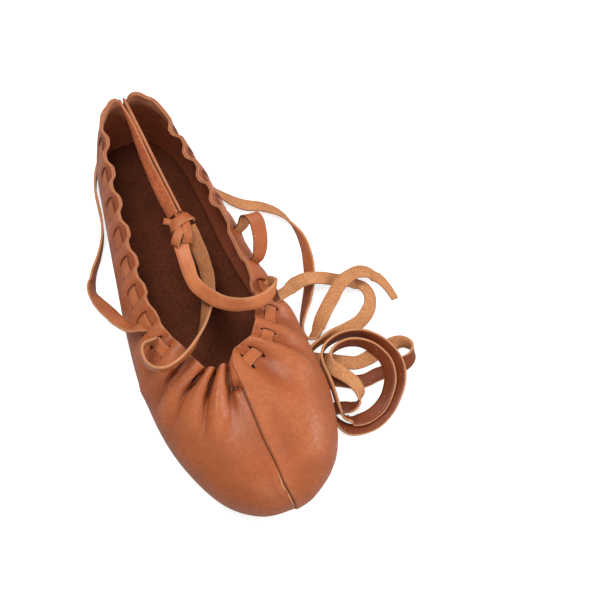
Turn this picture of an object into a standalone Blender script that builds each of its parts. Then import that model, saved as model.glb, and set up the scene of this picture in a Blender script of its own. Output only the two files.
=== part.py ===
"""Right-foot folk-dance moccasin of leather, gathered at the collar by a woven thong.

Millimetres are used for the sizes below, and MM turns them into metres. The toe points along -Y, the
medial (big toe) side is +X, and the sole stands on z = 0.
"""
import bmesh
import bpy
import numpy as np
from mathutils import Vector

MM = 0.001

# Driving sizes.
SHOE_LENGTH = 270.0
BALL_WIDTH = 88.0
HEEL_HEIGHT = 68.0
SOLE_THICK = 4.0
SOLE_BEVEL = 1.4
WALL = 2.4
INSOLE_THICK = 2.0
INSOLE_INSET = 3.0
MARGIN = 10.0
TOE_SPRING = 5.0
SPRING_START = 205.0
SPRING_LENGTH = 55.0
THONG_WIDTH = 8.5
THONG_THICK = 1.6
GAP = 0.3
LACE_GAP = 0.4
LAST_CENTRE = (2.1, 1.3)

FEATHER_Z = SOLE_THICK + GAP + WALL / 2

# Sections from heel to toe, in hundredths of the shoe's length, ball width or heel height.
# base is the feather line where the wall meets the sole, rim is the collar's edge, belly and brow are
# the handles that bulge the wall outwards above the base and below the rim.
SECTION_COLUMNS = {
    "base_at": SHOE_LENGTH, "base_lateral": BALL_WIDTH, "base_medial": BALL_WIDTH,
    "rim_at": SHOE_LENGTH, "rim_lateral": BALL_WIDTH, "rim_medial": BALL_WIDTH, "rim_up": HEEL_HEIGHT,
    "belly_out": BALL_WIDTH, "belly_up": HEEL_HEIGHT, "brow_out": BALL_WIDTH, "brow_up": HEEL_HEIGHT,
}
SECTIONS = (
    (2.2, 0.0, 0.0, 2.6, 0.0, 0.0, 98.5, 4.5, 35.3, 2.3, -26.5),
    (3.7, 17.0, 17.0, 3.3, 11.4, 11.4, 100.0, 4.5, 35.3, 3.4, -29.4),
    (11.1, 27.3, 28.4, 9.3, 21.6, 20.5, 95.6, 5.7, 32.4, 4.5, -26.5),
    (23.0, 33.0, 31.8, 21.1, 28.4, 27.3, 83.8, 8.0, 27.9, 9.1, -20.6),
    (37.0, 39.8, 33.0, 34.4, 33.0, 31.8, 73.5, 12.5, 25.0, 10.2, -17.6),
    (51.9, 47.7, 38.6, 47.0, 36.4, 33.0, 70.6, 14.8, 26.5, 13.6, -14.7),
    (65.9, 53.4, 46.6, 57.4, 33.0, 28.4, 73.5, 14.8, 32.4, 22.7, -8.8),
    (79.3, 51.6, 50.0, 64.4, 22.7, 17.0, 76.5, 13.6, 39.7, 31.8, -4.4),
    (91.8, 38.6, 39.8, 66.9, 17.0, 12.5, 77.4, 11.4, 44.1, 38.0, -5.4),
    (98.0, 18.5, 19.3, 69.0, 9.1, 5.9, 77.9, 10.2, 44.1, 45.5, -6.6),
    (99.1, -3.4, 3.4, 69.8, 1.7, -1.7, 77.9, 10.2, 44.1, 50.0, -7.4),
)
HEEL_NOTCH_DEPTH = 14.0
HEEL_NOTCH_HALF = 4.4

# Folds of the gathered collar, from the heel seam forward along the rim. Ridges, with the lace inside,
# and valleys, with the lace outside, take turns, and the first row of each side is a ridge.
# Columns: place along the rim, height of the fold, length over which it fades down the wall.
SIDE_FOLD = (1.7, 16.0)
LATERAL_FIRST = 25.0
LATERAL_PITCH = 9.4
LATERAL_COUNT = 14
LATERAL_THROAT = (
    (156.5, 1.7, 20.0), (165.0, 1.9, 24.0), (172.0, 2.1, 30.0), (179.0, 2.2, 36.0), (184.3, 2.2, 42.0),
    (189.5, 2.2, 44.0), (193.6, 2.2, 44.0), (197.6, 2.2, 44.0), (201.0, 2.2, 40.0), (204.6, 1.8, 34.0),
)
MEDIAL_FIRST = 32.7
MEDIAL_PITCH = 8.25
MEDIAL_COUNT = 9
MEDIAL_THROAT = (
    (122.0, 0.8, 16.0), (143.0, 1.2, 16.0), (151.0, 1.6, 18.0), (160.0, 1.8, 24.0), (169.0, 1.8, 26.0),
    (176.0, 2.2, 34.0), (183.5, 2.2, 36.0), (190.5, 2.3, 40.0), (197.0, 2.2, 38.0), (203.0, 2.0, 40.0),
)
SLACK_FOLD_AT = 122.0
SLACK_STEP = 2.6
SLACK_LOOP = (11.0, 5.0, 19.0)
SLIT_TOP = 4.0
SLIT_BOTTOM = 14.0
SLIT_WIDTH = 3.6
SLIT_SHARE = 0.4
FLAT_STEP = 6.5
HEEL_COLUMNS = (2.2, 4.8, 9.0, 14.5)
HEEL_EASE = 6.5
LACE_START = 14.5
SEAM_GROOVE = 1.3
SEAM_BASE_HALF = 3.0

# Rows of the wall: depths below the rim, then shares of what is left down to the feather line.
RIM_DEPTHS = (0.0, SLIT_TOP, SLIT_BOTTOM, 20.0, 28.0)
LOWER_SHARES = (0.2, 0.4, 0.6, 0.8, 0.94, 1.0)
LINE_STEPS = 81
PLATE_STEPS = 34
THONG_STEP = 3.0

LEATHER = ("cognac_leather", (0.43, 0.135, 0.045), 0.45)
THONG = ("thong_leather", (0.47, 0.17, 0.065), 0.6)
SUEDE = ("brown_suede", (0.09, 0.03, 0.015), 0.9)
RUBBER = ("honey_rubber", (0.60, 0.39, 0.13), 0.6)


def clear_scene():
    for item in list(bpy.data.objects):
        bpy.data.objects.remove(item, do_unlink=True)


def make_material(name, colour, roughness):
    material = bpy.data.materials.get(name)
    if material is None:
        material = bpy.data.materials.new(name)
        material.use_nodes = True
        shader = material.node_tree.nodes["Principled BSDF"]
        shader.inputs["Base Color"].default_value = (*colour, 1.0)
        shader.inputs["Roughness"].default_value = roughness
        shader.inputs["Metallic"].default_value = 0.0
    return material


def add_object(name, bm, finish):
    """Turn a bmesh in millimetres into a named object of the shoe, with its faces pointing out."""
    bmesh.ops.scale(bm, vec=(MM, MM, MM), verts=bm.verts)
    bmesh.ops.recalc_face_normals(bm, faces=bm.faces)
    mesh = bpy.data.meshes.new(name)
    bm.to_mesh(mesh)
    bm.free()
    mesh.shade_smooth()
    mesh.set_sharp_from_angle(angle=np.radians(40))
    mesh.materials.append(make_material(*finish))
    item = bpy.data.objects.new(name, mesh)
    SHOE.objects.link(item)
    return item


def section_loop():
    """Section rows once round the shoe: heel, lateral side, toe, medial side."""
    sizes = np.array(SECTIONS) / 100 * np.array(list(SECTION_COLUMNS.values()))
    base_at, base_lat, base_med, rim_at, rim_lat, rim_med = sizes[:, :6].T
    shared = sizes[:, 6:]
    middle, heel = LAST_CENTRE[0], LAST_CENTRE[1] + SHOE_LENGTH / 2
    base_y, rim_y = heel - base_at, heel - rim_at
    lateral = np.column_stack([middle - base_lat, base_y, middle - rim_lat, rim_y, shared])
    medial = np.column_stack([middle + base_med, base_y, middle + rim_med, rim_y, shared])
    return np.vstack([lateral, medial[-2:0:-1]])


LOOP = section_loop()
TOE_U = len(SECTIONS) - 1.0


def section(u):
    """Section values at loop position u, on a closed Catmull-Rom curve through the rows."""
    u = np.asarray(u, float)
    k = np.floor(u).astype(int)
    t = (u - k)[:, None]
    a, b, c, d = (LOOP[(k + step) % len(LOOP)] for step in (-1, 0, 1, 2))
    return b + 0.5 * t * (c - a + t * (2 * a - 5 * b + 4 * c - d + t * (3 * (b - c) + d - a)))


def toe_spring(y):
    past = np.clip((LAST_CENTRE[1] + SHOE_LENGTH / 2 - y - SPRING_START) / SPRING_LENGTH, 0, None)
    return TOE_SPRING * past ** 2


def base_curve(u):
    s = section(u)
    return np.column_stack([s[:, 0], s[:, 1], FEATHER_Z + toe_spring(s[:, 1])])


def plain_rim(u):
    return section(u)[:, 2:5]


def rim_curve(u):
    """The collar's edge, with the notch between the two heel lobes."""
    rim = plain_rim(u)
    at_heel = rim[:, 1] > 0
    across = (rim[:, 0] - LAST_CENTRE[0]) / HEEL_NOTCH_HALF
    rim[:, 2] -= at_heel * HEEL_NOTCH_DEPTH * np.exp(-across ** 2)
    return rim


def outward(curve, u):
    """Level unit vector that points away from the foot at each point of a loop."""
    step = 1e-3
    d = curve(u + step) - curve(u - step)
    n = np.column_stack([d[:, 1], -d[:, 0], np.zeros(len(d))])
    return n / np.linalg.norm(n, axis=1, keepdims=True)


def rim_table():
    u = np.linspace(0, len(LOOP), 200 * len(LOOP) + 1)
    length = np.linalg.norm(np.diff(plain_rim(u), axis=0), axis=1)
    return u, np.concatenate([[0], np.cumsum(length)])


RIM_U, RIM_AT = rim_table()
RIM_LENGTH = RIM_AT[-1]


def rim_place(at):
    """Loop position of a place given as millimetres along the rim from the heel seam."""
    return np.interp(np.mod(at, RIM_LENGTH), RIM_AT, RIM_U)


TOE_AT = np.interp(TOE_U, RIM_U, RIM_AT)


def wall_lines(u_base, u_rim):
    """Fine lines from the rim down to the feather line, and each point's distance below the rim."""
    base, rim = base_curve(u_base), rim_curve(u_rim)
    low, high = section(u_base), section(u_rim)
    up = np.array([0.0, 0.0, 1.0])
    belly = base + outward(base_curve, u_base) * low[:, 5:6] + up * low[:, 6:7]
    brow = rim + outward(plain_rim, u_rim) * high[:, 7:8] + up * high[:, 8:9]
    v = np.linspace(1, 0, LINE_STEPS)[None, :, None]
    w = 1 - v
    lines = (w ** 3 * base[:, None] + 3 * w * w * v * belly[:, None]
             + 3 * w * v * v * brow[:, None] + v ** 3 * rim[:, None])
    steps = np.linalg.norm(np.diff(lines, axis=1), axis=2)
    depth = np.concatenate([np.zeros((len(lines), 1)), np.cumsum(steps, axis=1)], axis=1)
    return lines, depth


def points_at(lines, depth, wanted):
    """One point on each line, at the wanted distance below the rim."""
    return np.array([[np.interp(w, d, line[:, k]) for k in range(3)]
                     for line, d, w in zip(lines, depth, wanted)])


def fold_rows():
    """All folds in order round the rim: place, signed height (ridge +, valley -), fade."""
    lateral = [(LATERAL_FIRST + LATERAL_PITCH * k, *SIDE_FOLD) for k in range(LATERAL_COUNT)]
    lateral += LATERAL_THROAT
    medial = [(MEDIAL_FIRST + MEDIAL_PITCH * k, *SIDE_FOLD) for k in range(MEDIAL_COUNT)]
    medial += MEDIAL_THROAT
    rows = lateral + [(RIM_LENGTH - at, fold, fade) for at, fold, fade in reversed(medial)]
    return [(at, fold * (-1) ** k, fade) for k, (at, fold, fade) in enumerate(rows)]


def wall_columns():
    """Columns of the wall: place, signed push, fade, and whether a slit follows the column."""
    rows = fold_rows()
    columns = [(0.0, 0.0, SIDE_FOLD[1], False)]
    columns += [(at, 0.0, SIDE_FOLD[1], False) for at in HEEL_COLUMNS]
    start = HEEL_COLUMNS[-1] + HEEL_EASE
    for k, (at, push, fade) in enumerate(rows):
        last = k == len(rows) - 1
        if last:
            middle, half = RIM_LENGTH - HEEL_COLUMNS[-1] - HEEL_EASE, 0.0
        else:
            middle = (at + rows[k + 1][0]) / 2
            half = min(SLIT_WIDTH, SLIT_SHARE * (rows[k + 1][0] - at)) / 2
        end = middle - half
        step = SLACK_STEP if abs(at - RIM_LENGTH + SLACK_FOLD_AT) < 1 else FLAT_STEP
        parts = int(np.ceil((end - start) / step))
        for place in np.linspace(start, end, parts + 1)[:-1]:
            columns.append((place, push, fade, False))
        columns.append((end, push, fade, not last))
        if end < TOE_AT < middle + half:
            columns.append((TOE_AT, 0.0, fade, True))
        start = middle + half
    columns += [(RIM_LENGTH - at, 0.0, SIDE_FOLD[1], False) for at in reversed(HEEL_COLUMNS)]
    return columns


def wall_grid():
    """Points, outward normals and pushes of the wall's middle surface, column by column."""
    columns = wall_columns()
    at, push, fade, slit = (np.array(part) for part in zip(*columns))
    u_rim = rim_place(at)
    u_base = u_rim.copy()
    seam = int(np.argmin(np.abs(at - TOE_AT)))
    base_step = np.linalg.norm(base_curve(np.array([TOE_U + 0.01])) - base_curve(np.array([TOE_U])))
    u_base[seam - 1] = TOE_U - SEAM_BASE_HALF / base_step * 0.01
    u_base[seam + 1] = TOE_U + SEAM_BASE_HALF / base_step * 0.01
    lines, depth = wall_lines(u_base, u_rim)
    total = depth[:, -1]
    wanted = [np.full(len(at), d) for d in RIM_DEPTHS]
    wanted += [RIM_DEPTHS[-1] + share * (total - RIM_DEPTHS[-1]) for share in LOWER_SHARES]
    grid = np.stack([points_at(lines, depth, w) for w in wanted], axis=1)
    along = np.roll(grid, -1, axis=0) - np.roll(grid, 1, axis=0)
    down = np.gradient(grid, axis=1)
    normal = np.cross(down, along)
    normal /= np.linalg.norm(normal, axis=2, keepdims=True)
    below = np.clip((np.stack(wanted, axis=1) - SLIT_BOTTOM) / fade[:, None], 0, 1)
    pushes = push[:, None] * (1 - below * below * (3 - 2 * below))
    groove = np.clip((np.array(wanted)[:, seam] - SLIT_BOTTOM) / 6, 0, 1)
    pushes[seam] -= SEAM_GROOVE * groove
    pushes[:, -1] = 0
    return at, slit, grid, normal, pushes


AT, SLIT, GRID, NORMAL, PUSH = wall_grid()


def build_upper():
    """The leather wall: one sheet from the rim to the turned-in margin, thickened both ways."""
    wall = GRID + NORMAL * PUSH[..., None]
    u = rim_place(AT)
    seam = int(np.argmin(np.abs(AT - TOE_AT)))
    corner = wall[:, -1]
    inner = corner - outward(base_curve, u) * MARGIN
    inner[seam - 1:seam + 2] = corner[seam - 1:seam + 2] - outward(base_curve, u[[seam] * 3]) * MARGIN
    inner[:, 2] = FEATHER_Z + toe_spring(inner[:, 1])
    sheet = np.concatenate([wall, inner[:, None]], axis=1)
    bm = bmesh.new()
    verts = [[bm.verts.new(p) for p in column] for column in sheet]
    slit_row = RIM_DEPTHS.index(SLIT_TOP)
    for k, column in enumerate(verts):
        following = verts[(k + 1) % len(verts)]
        for row in range(len(column) - 1):
            if not (SLIT[k] and row == slit_row):
                bm.faces.new((column[row], column[row + 1], following[row + 1], following[row]))
    item = add_object("upper", bm, LEATHER)
    shell = item.modifiers.new("wall", "SOLIDIFY")
    shell.thickness = WALL * MM
    shell.offset = 0.0
    shell.use_even_offset = True
    shell.use_quality_normals = True


def even_loop(inset):
    """The feather line moved inwards, with as many points on the lateral as on the medial side."""
    u = np.linspace(0, len(LOOP), 200 * len(LOOP) + 1)
    line = base_curve(u)
    at = np.concatenate([[0], np.cumsum(np.linalg.norm(np.diff(line, axis=0), axis=1))])
    toe = np.interp(TOE_U, u, at)
    lateral = np.linspace(0, toe, PLATE_STEPS + 1)
    medial = np.linspace(toe, at[-1], PLATE_STEPS + 1)[1:-1]
    place = np.interp(np.concatenate([lateral, medial]), at, u)
    loop = base_curve(place) - outward(base_curve, place) * inset
    loop[:, 2] = toe_spring(loop[:, 1])
    return loop


def build_plate(name, rings, finish):
    """A flat piece of foot outline: rings of (inset, height), closed below and above by cross strips."""
    bm = bmesh.new()
    loops = []
    for inset, height in rings:
        loop = even_loop(inset)
        loop[:, 2] += height
        loops.append([bm.verts.new(p) for p in loop])
    count = len(loops[0])
    for low, high in zip(loops, loops[1:]):
        for k in range(count):
            bm.faces.new((low[k], low[(k + 1) % count], high[(k + 1) % count], high[k]))
    for loop in (loops[0], loops[-1]):
        for k in range(PLATE_STEPS):
            strip = (loop[k], loop[k + 1], loop[(count - k - 1) % count], loop[(count - k) % count])
            bm.faces.new(tuple(dict.fromkeys(strip)))
    add_object(name, bm, finish)


def smooth_route(points, step):
    """Points every step along a Catmull-Rom curve through the route, as values for each column."""
    points = np.asarray(points, float)
    padded = np.vstack([2 * points[0] - points[1], points, 2 * points[-1] - points[-2]])
    t = np.linspace(0, 1, 21)[:-1, None]
    pieces = []
    for a, b, c, d in zip(padded, padded[1:], padded[2:], padded[3:]):
        pieces.append(b + 0.5 * t * (c - a + t * (2 * a - 5 * b + 4 * c - d + t * (3 * (b - c) + d - a))))
    fine = np.vstack(pieces + [points[-1:]])
    at = np.concatenate([[0], np.cumsum(np.linalg.norm(np.diff(fine[:, :3], axis=0), axis=1))])
    wanted = np.linspace(0, at[-1], max(2, int(np.ceil(at[-1] / step))) + 1)
    return np.column_stack([np.interp(wanted, at, fine[:, k]) for k in range(fine.shape[1])])


def unit(v):
    return v / np.linalg.norm(v, axis=-1, keepdims=True)


def strip_mesh(bm, low_in, low_out, high_out, high_in):
    """A closed strip through four rails of corners."""
    rails = [[bm.verts.new(p) for p in rail] for rail in (low_in, low_out, high_out, high_in)]
    for rail, other in zip(rails, rails[1:] + rails[:1]):
        for k in range(len(rail) - 1):
            bm.faces.new((rail[k], rail[k + 1], other[k + 1], other[k]))
    for end in (0, -1):
        bm.faces.new([rail[end] for rail in rails])


def thong_faces(route):
    """Grain-side directions of a route, whose last column is the roll about the way it runs."""
    way = unit(np.gradient(route[:, :3], axis=0))
    side = unit(np.cross(way, (0.0, 0.0, 1.0)))
    top = np.cross(side, way)
    roll = np.radians(route[:, 3:4])
    return top * np.cos(roll) + side * np.sin(roll)


def from_last(route):
    """A route that is measured from the middle of the last, as places in the shoe's frame."""
    return np.array(route, float) + np.array([*LAST_CENTRE, 0.0, 0.0])


def build_thong(name, points, faces):
    """A flat thong through points, with its grain side turned to the direction given at each."""
    rows = smooth_route(np.column_stack([points, faces]), THONG_STEP)
    points, faces = rows[:, :3], rows[:, 3:]
    way = unit(np.gradient(points, axis=0))
    faces = unit(faces - way * np.sum(faces * way, axis=1, keepdims=True))
    wide = np.cross(way, faces) * THONG_WIDTH / 2
    thick = faces * THONG_THICK / 2
    reach = np.abs(wide[:, 2]) + np.abs(thick[:, 2])
    points[:, 2] = np.maximum(points[:, 2], reach + GAP)
    bm = bmesh.new()
    strip_mesh(bm, points - wide - thick, points - wide + thick, points + wide + thick, points + wide - thick)
    add_object(name, bm, THONG)


def build_collar_lace():
    """The thong woven through the slits: outside in the valleys, inside behind the ridges."""
    reach = WALL / 2 + THONG_THICK / 2 + LACE_GAP
    row = RIM_DEPTHS.index(SLIT_TOP)
    tall = SLIT_BOTTOM - SLIT_TOP
    share = (tall - THONG_WIDTH) / 2 / tall
    slack_at = RIM_LENGTH - SLACK_FOLD_AT
    fold_of = np.cumsum(np.concatenate([[0], SLIT[:-1]]) > 0)
    slack_fold = fold_of[int(np.argmin(np.abs(AT - slack_at)))]
    slack = np.nonzero(fold_of == slack_fold)[0]
    rails = [[], [], [], []]
    for k in np.nonzero((AT > LACE_START - 0.1) & (AT < RIM_LENGTH - LACE_START + 0.1))[0]:
        if abs(AT[k] - TOE_AT) < 1e-6:
            continue
        top, bottom = GRID[k, row], GRID[k, row + 1]
        normal = unit(NORMAL[k, row] + NORMAL[k, row + 1])
        push = PUSH[k, row]
        offset = push + reach if push < 0 else push - reach
        lift = np.zeros(3)
        if k in slack:
            rise = np.sin(np.pi * (AT[k] - AT[slack[0]]) / (AT[slack[-1]] - AT[slack[0]]))
            lift = rise * np.array(SLACK_LOOP)
        low, high = bottom + (top - bottom) * share + lift, top + (bottom - top) * share + lift
        for rail, edge, side in zip(rails, (low, low, high, high), (-1, 1, 1, -1)):
            rail.append(edge + normal * (offset + side * THONG_THICK / 2))
    bm = bmesh.new()
    strip_mesh(bm, *rails)
    add_object("collar_lace", bm, THONG)


def on_wall(at, depth, off):
    """A point outside the wall and the wall's outward direction there."""
    u = rim_place(np.array([at - 0.5, at, at + 0.5]))
    lines, depths = wall_lines(u, u)
    middle = points_at(lines, depths, np.full(3, depth))
    lower = points_at(lines[1:2], depths[1:2], [depth + 1])[0]
    normal = unit(np.cross(lower - middle[1], middle[2] - middle[0]))
    return middle[1] + normal * off, normal


# Routes in millimetres: x, y, z, roll of the grain side from up towards the right of the way.
KNOT_AT = (5.0, 43.0, 47.0)
KNOT_HALF = (7.0, 8.5, 6.0)
STRAP_HEEL = ((12.5, 9.5, 2.4), (8.0, 6.5, 3.4), (4.6, 0.8, 4.6))
STRAP_ROUTES = {
    "heel_strap_lateral": (1, ((-1.5, 132.8, 63.4, 90), (-1.5, 126.0, 63.4, 90), (-1.6, 112.0, 60.0, 72),
                               (-1.3, 92.0, 54.5, 56), (-0.2, 72.0, 50.0, 48), (1.2, 51.6, 47.6, 46))),
    "heel_strap_medial": (-1, ((1.5, 132.8, 63.4, -90), (1.5, 126.0, 63.4, -90), (2.9, 112.0, 60.0, -80),
                               (4.8, 92.0, 54.5, -72), (6.6, 72.0, 50.0, -68), (8.2, 51.8, 47.6, -66))),
}
LOOP_ROUTES = {
    "loop_medial": ((3.6, 33.9, 46, 8), (2, 19, 45, 14), (-1, 5, 47, 24), (2, -8, 51, 38), (10, -18, 55, 48),
                    (20, -23.4, 58.5, 52), (28.5, -23.6, 58.8, 60), (35.2, -20.6, 57.6, 74),
                    (39, -16, 55.4, 86), (40, -11.6, 52.6, 92)),
    "loop_lateral": ((7.0, 36.4, 43.0, -170), (9, 23, 38, -166), (7, 9, 36.5, -158), (0, -7, 41, -140),
                     (-11, -22, 51, -112), (-21, -33.5, 60, -92), (-31, -40.6, 65, -82), (-40.5, -42.2, 65, -74),
                     (-47, -37.4, 62.5, -68), (-49.2, -30, 58.6, -68), (-46.6, -24, 54.6, -76)),
}
TIE_LATERAL = (
    (-48.6, -5.8, 43, 78), (-51.6, 4, 36.5, 40), (-53.4, 13.5, 29.5, 14), (-55, 23, 22, 14), (-56, 33, 14.5, 32),
    (-55.4, 43, 7.5, 58), (-51.5, 53.5, 0, 78), (-45, 64, 0, 86), (-39, 75, 0, 90), (-34.6, 87, 0, 90),
    (-31.8, 98, 0, 90), (-28.6, 109, 0, 90), (-22.8, 121.2, 0, 90), (-13.4, 131, 0, 90), (-1, 134.6, 0, 90),
    (11.5, 131.8, 0, 90), (21.6, 123, 0, 90), (28.4, 111, 0, 90), (33, 98, 0, 94), (38.6, 84, 0, 112),
    (46, 72, 0, 146),
    (54, 64.6, 0, 164), (63, 59.4, 0, 158), (71, 51, 0, 136), (76, 39, 0, 102), (77.5, 26, 0, 68),
    (75, 12, 0, 50), (70, -1, 0, 46), (63.5, -12, 0, 54), (57.2, -21, 0, 72), (53.6, -28, 0, 88),
    (53.2, -33.6, 0, 100), (56.6, -36.6, 0, 120), (60.6, -33.4, 0, 146), (64.6, -29, 4, 166),
    (69, -25, 7.5, 176), (74, -21, 10, 180), (78.6, -17.6, 12, 182), (83, -14, 13, 182), (88.9, -10.7, 13, 180),
    (94.7, -8.6, 11.5, 174), (100.5, -7.8, 9, 164), (106.1, -8.8, 5.5, 150), (110.3, -11.8, 0, 138),
    (112.8, -16.5, 0, 126), (114.4, -23, 0, 116), (115.2, -29.8, 0, 112),
)
# The medial tie: down from the collar, a loose loop, a strip with a long tip, two turns round, a short loop.
TIE_MEDIAL = (
    (47.4, -16, 40, -150), (53, -10.5, 30, -158), (60, -4.5, 19, -168), (68, -1.8, 12.8, -176),
    (76, -3.2, 10.4, -182), (84.5, -6, 7, -190), (93, -9.6, 4.4, -198), (99.5, -14.5, 0, -205),
    (101.3, -21.5, 0, -208), (98.6, -28.5, 0, -208), (92.7, -34, 0, -206), (86, -37, 0, -206),
    (77.5, -38.2, 0, -216), (68, -38.6, 0, -246), (59.5, -40.2, 0, -266), (53.5, -42.8, 0, -265),
    (52.4, -46.5, 0, -235), (55, -49, 0, -186), (60.5, -51.6, 0, -180), (69, -56.5, 0, -180),
    (76, -59.8, 0, -180), (84, -59.6, 0, -178), (92, -58.2, 0, -178), (100, -57, 0, -166), (107, -59, 0, -120),
    (110.5, -64.5, 0, -90), (107.5, -70, 0, -58), (100, -72, 0, -14), (92, -71.8, 0, -2), (84, -71.6, 0, 0),
    (76, -72.4, 0, 0), (69, -70.6, 0, 0), (62.5, -67, 0, 0), (57.4, -64.6, 0, 0), (53.6, -66.2, 0, -34),
    (50.4, -70.4, 0, -72), (48.9, -76, 0, -88), (48.7, -84, 0, -80), (49.5, -92, 0, -50), (54.5, -98.4, 0, -20),
    (64, -100.2, 0, -8), (74.5, -98.2, 0, -10), (84, -93, 4, -22), (91.6, -86, 6, -36), (96.4, -77.4, 7.2, -44),
    (97.4, -68, 7.6, -50), (95.2, -58.8, 7.8, -60), (90.6, -50.8, 7.8, -70), (84, -45.2, 7.6, -78),
    (76, -42.6, 7.6, -82), (67.8, -42.8, 7.6, -84), (60.4, -45.6, 8, -88), (55.6, -51.6, 9, -90),
    (54, -59, 11, -90), (53.6, -67, 13, -90), (53.4, -75, 11.5, -90), (53.2, -83, 7, -84), (55, -90.4, 0, -52),
    (61, -95, 3.6, -18), (69, -95, 3.6, -10), (77.6, -91.8, 4, -16), (85, -85.4, 5.5, -32), (90, -77.2, 6.4, -42),
    (91.4, -68, 6.8, -50), (89, -59.2, 7.2, -62), (83.4, -52, 7.4, -74), (76, -48.2, 7.6, -82),
    (68.6, -48, 7.8, -86), (62.8, -50.2, 8, -94), (59.4, -54, 8.2, -112), (59, -58.6, 8.4, -140),
    (61.2, -62.8, 8.4, -165), (64, -66.6, 8.2, -178), (66.6, -70.8, 7.8, -186), (68.4, -75.6, 7.4, -202),
    (68.6, -80.4, 6.4, -228), (66, -84.6, 4, -290), (61.4, -85.8, 2.4, -330), (57.4, -84, 1.6, -350),
)
# Where each cord meets the collar: at its first or last point, place along the rim, depth below it and
# height above the wall's middle.
CORD_SEATS = {
    "loop_medial": (-1, -146.5, 6.0, 5.6), "loop_lateral": (-1, 160.5, 9.0, 3.2),
    "tie_lateral": (0, 150.5, 9.5, 5.4), "tie_medial": (0, -160.0, 11.0, 4.3),
}


def seated(name, points, faces):
    """A cord's points and faces with the place added where it meets the collar."""
    end, at, depth, off = CORD_SEATS[name]
    seat, _ = on_wall(at, depth, off)
    place = 0 if end == 0 else len(points)
    return np.insert(points, place, seat, axis=0), np.insert(faces, place, faces[end], axis=0)


def build_straps():
    for name, (side, inside) in STRAP_ROUTES.items():
        lead = [on_wall(side * at, depth, off) for at, depth, off in STRAP_HEEL]
        inside = from_last(inside)
        points = np.vstack([[p for p, n in lead], inside[:, :3]])
        faces = np.vstack([[-n for p, n in lead], thong_faces(inside)])
        build_thong(name, points, faces)


def build_knot():
    """The overhand knot, as one rounded lump with the swell of its two wraps."""
    bm = bmesh.new()
    bmesh.ops.create_uvsphere(bm, u_segments=14, v_segments=9, radius=1.0)
    for v in bm.verts:
        swell = 1 + 0.10 * np.cos(2 * np.pi * v.co.y + v.co.x)
        v.co = [c * half * swell for c, half in zip(v.co, KNOT_HALF)]
        v.co += Vector(from_last([(*KNOT_AT, 0.0)])[0, :3])
    add_object("knot", bm, THONG)


clear_scene()
SHOE = bpy.data.collections.new("dance_shoe")
bpy.context.scene.collection.children.link(SHOE)

CORD_ROUTES = {**LOOP_ROUTES, "tie_lateral": TIE_LATERAL, "tie_medial": TIE_MEDIAL}
SOLE_RINGS = ((0.6, 0.0), (-0.6, SOLE_BEVEL), (-0.6, SOLE_THICK))
INSOLE_BOTTOM = FEATHER_Z + WALL / 2 + GAP
INSOLE_RINGS = ((INSOLE_INSET, INSOLE_BOTTOM), (INSOLE_INSET, INSOLE_BOTTOM + INSOLE_THICK))
build_plate("outsole", SOLE_RINGS, RUBBER)
build_plate("insole", INSOLE_RINGS, SUEDE)
build_upper()
build_collar_lace()
build_straps()
build_knot()
for cord_name, cord_route in CORD_ROUTES.items():
    route = from_last(cord_route)
    build_thong(cord_name, *seated(cord_name, route[:, :3], thong_faces(route)))
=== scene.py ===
"""Looks of a right-foot folk-dance moccasin of leather, on its frame.

Shapes are worked out in millimetres, and add_piece turns them into metres. The toe points along -Y, the
medial (big toe) side is +X, and the sole stands on z = 0.
"""

import bpy
import numpy as np
from mathutils import Matrix, Vector


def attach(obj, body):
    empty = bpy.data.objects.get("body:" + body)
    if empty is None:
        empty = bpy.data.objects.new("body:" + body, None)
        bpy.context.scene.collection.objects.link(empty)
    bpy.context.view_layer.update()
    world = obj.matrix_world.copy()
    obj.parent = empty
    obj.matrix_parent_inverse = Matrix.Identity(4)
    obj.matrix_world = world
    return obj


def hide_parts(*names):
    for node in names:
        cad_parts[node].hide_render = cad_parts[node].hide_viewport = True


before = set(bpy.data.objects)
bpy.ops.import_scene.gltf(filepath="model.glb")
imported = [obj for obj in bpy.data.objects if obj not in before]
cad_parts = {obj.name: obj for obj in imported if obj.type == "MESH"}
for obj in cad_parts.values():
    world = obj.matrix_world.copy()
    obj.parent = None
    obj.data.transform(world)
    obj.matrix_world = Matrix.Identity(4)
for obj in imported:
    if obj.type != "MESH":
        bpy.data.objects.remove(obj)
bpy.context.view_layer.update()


# Outsole: one thin sheet of honey-coloured rubber, cut to the foot's outline with a bevelled edge and
# cemented under the upper. A fine waffle is pressed into its underside.
MM = 0.001
SHOE_LENGTH = 270.0
BALL_WIDTH = 88.0
HEEL_HEIGHT = 68.0
SOLE_THICK = 4.0
SOLE_BEVEL = 1.4
TOE_SPRING = 5.0
SPRING_START = 205.0
SPRING_LENGTH = 55.0
LAST_CENTRE = (2.1, 1.3)
WALL = 2.4
GAP = 0.3
FEATHER_Z = SOLE_THICK + GAP + WALL / 2
PLATE_STEPS = 130
TREAD_PITCH = 2.8
TREAD_BUMP = 0.5
EDGE_BUMP = 0.15
# Scale at which a wave texture has one band for each metre.
WAVE_TURN = 2.0 * np.pi / 20.0
RUBBER_SIDE = (0.66, 0.45, 0.17)
RUBBER_TREAD = (0.60, 0.40, 0.14)

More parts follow.
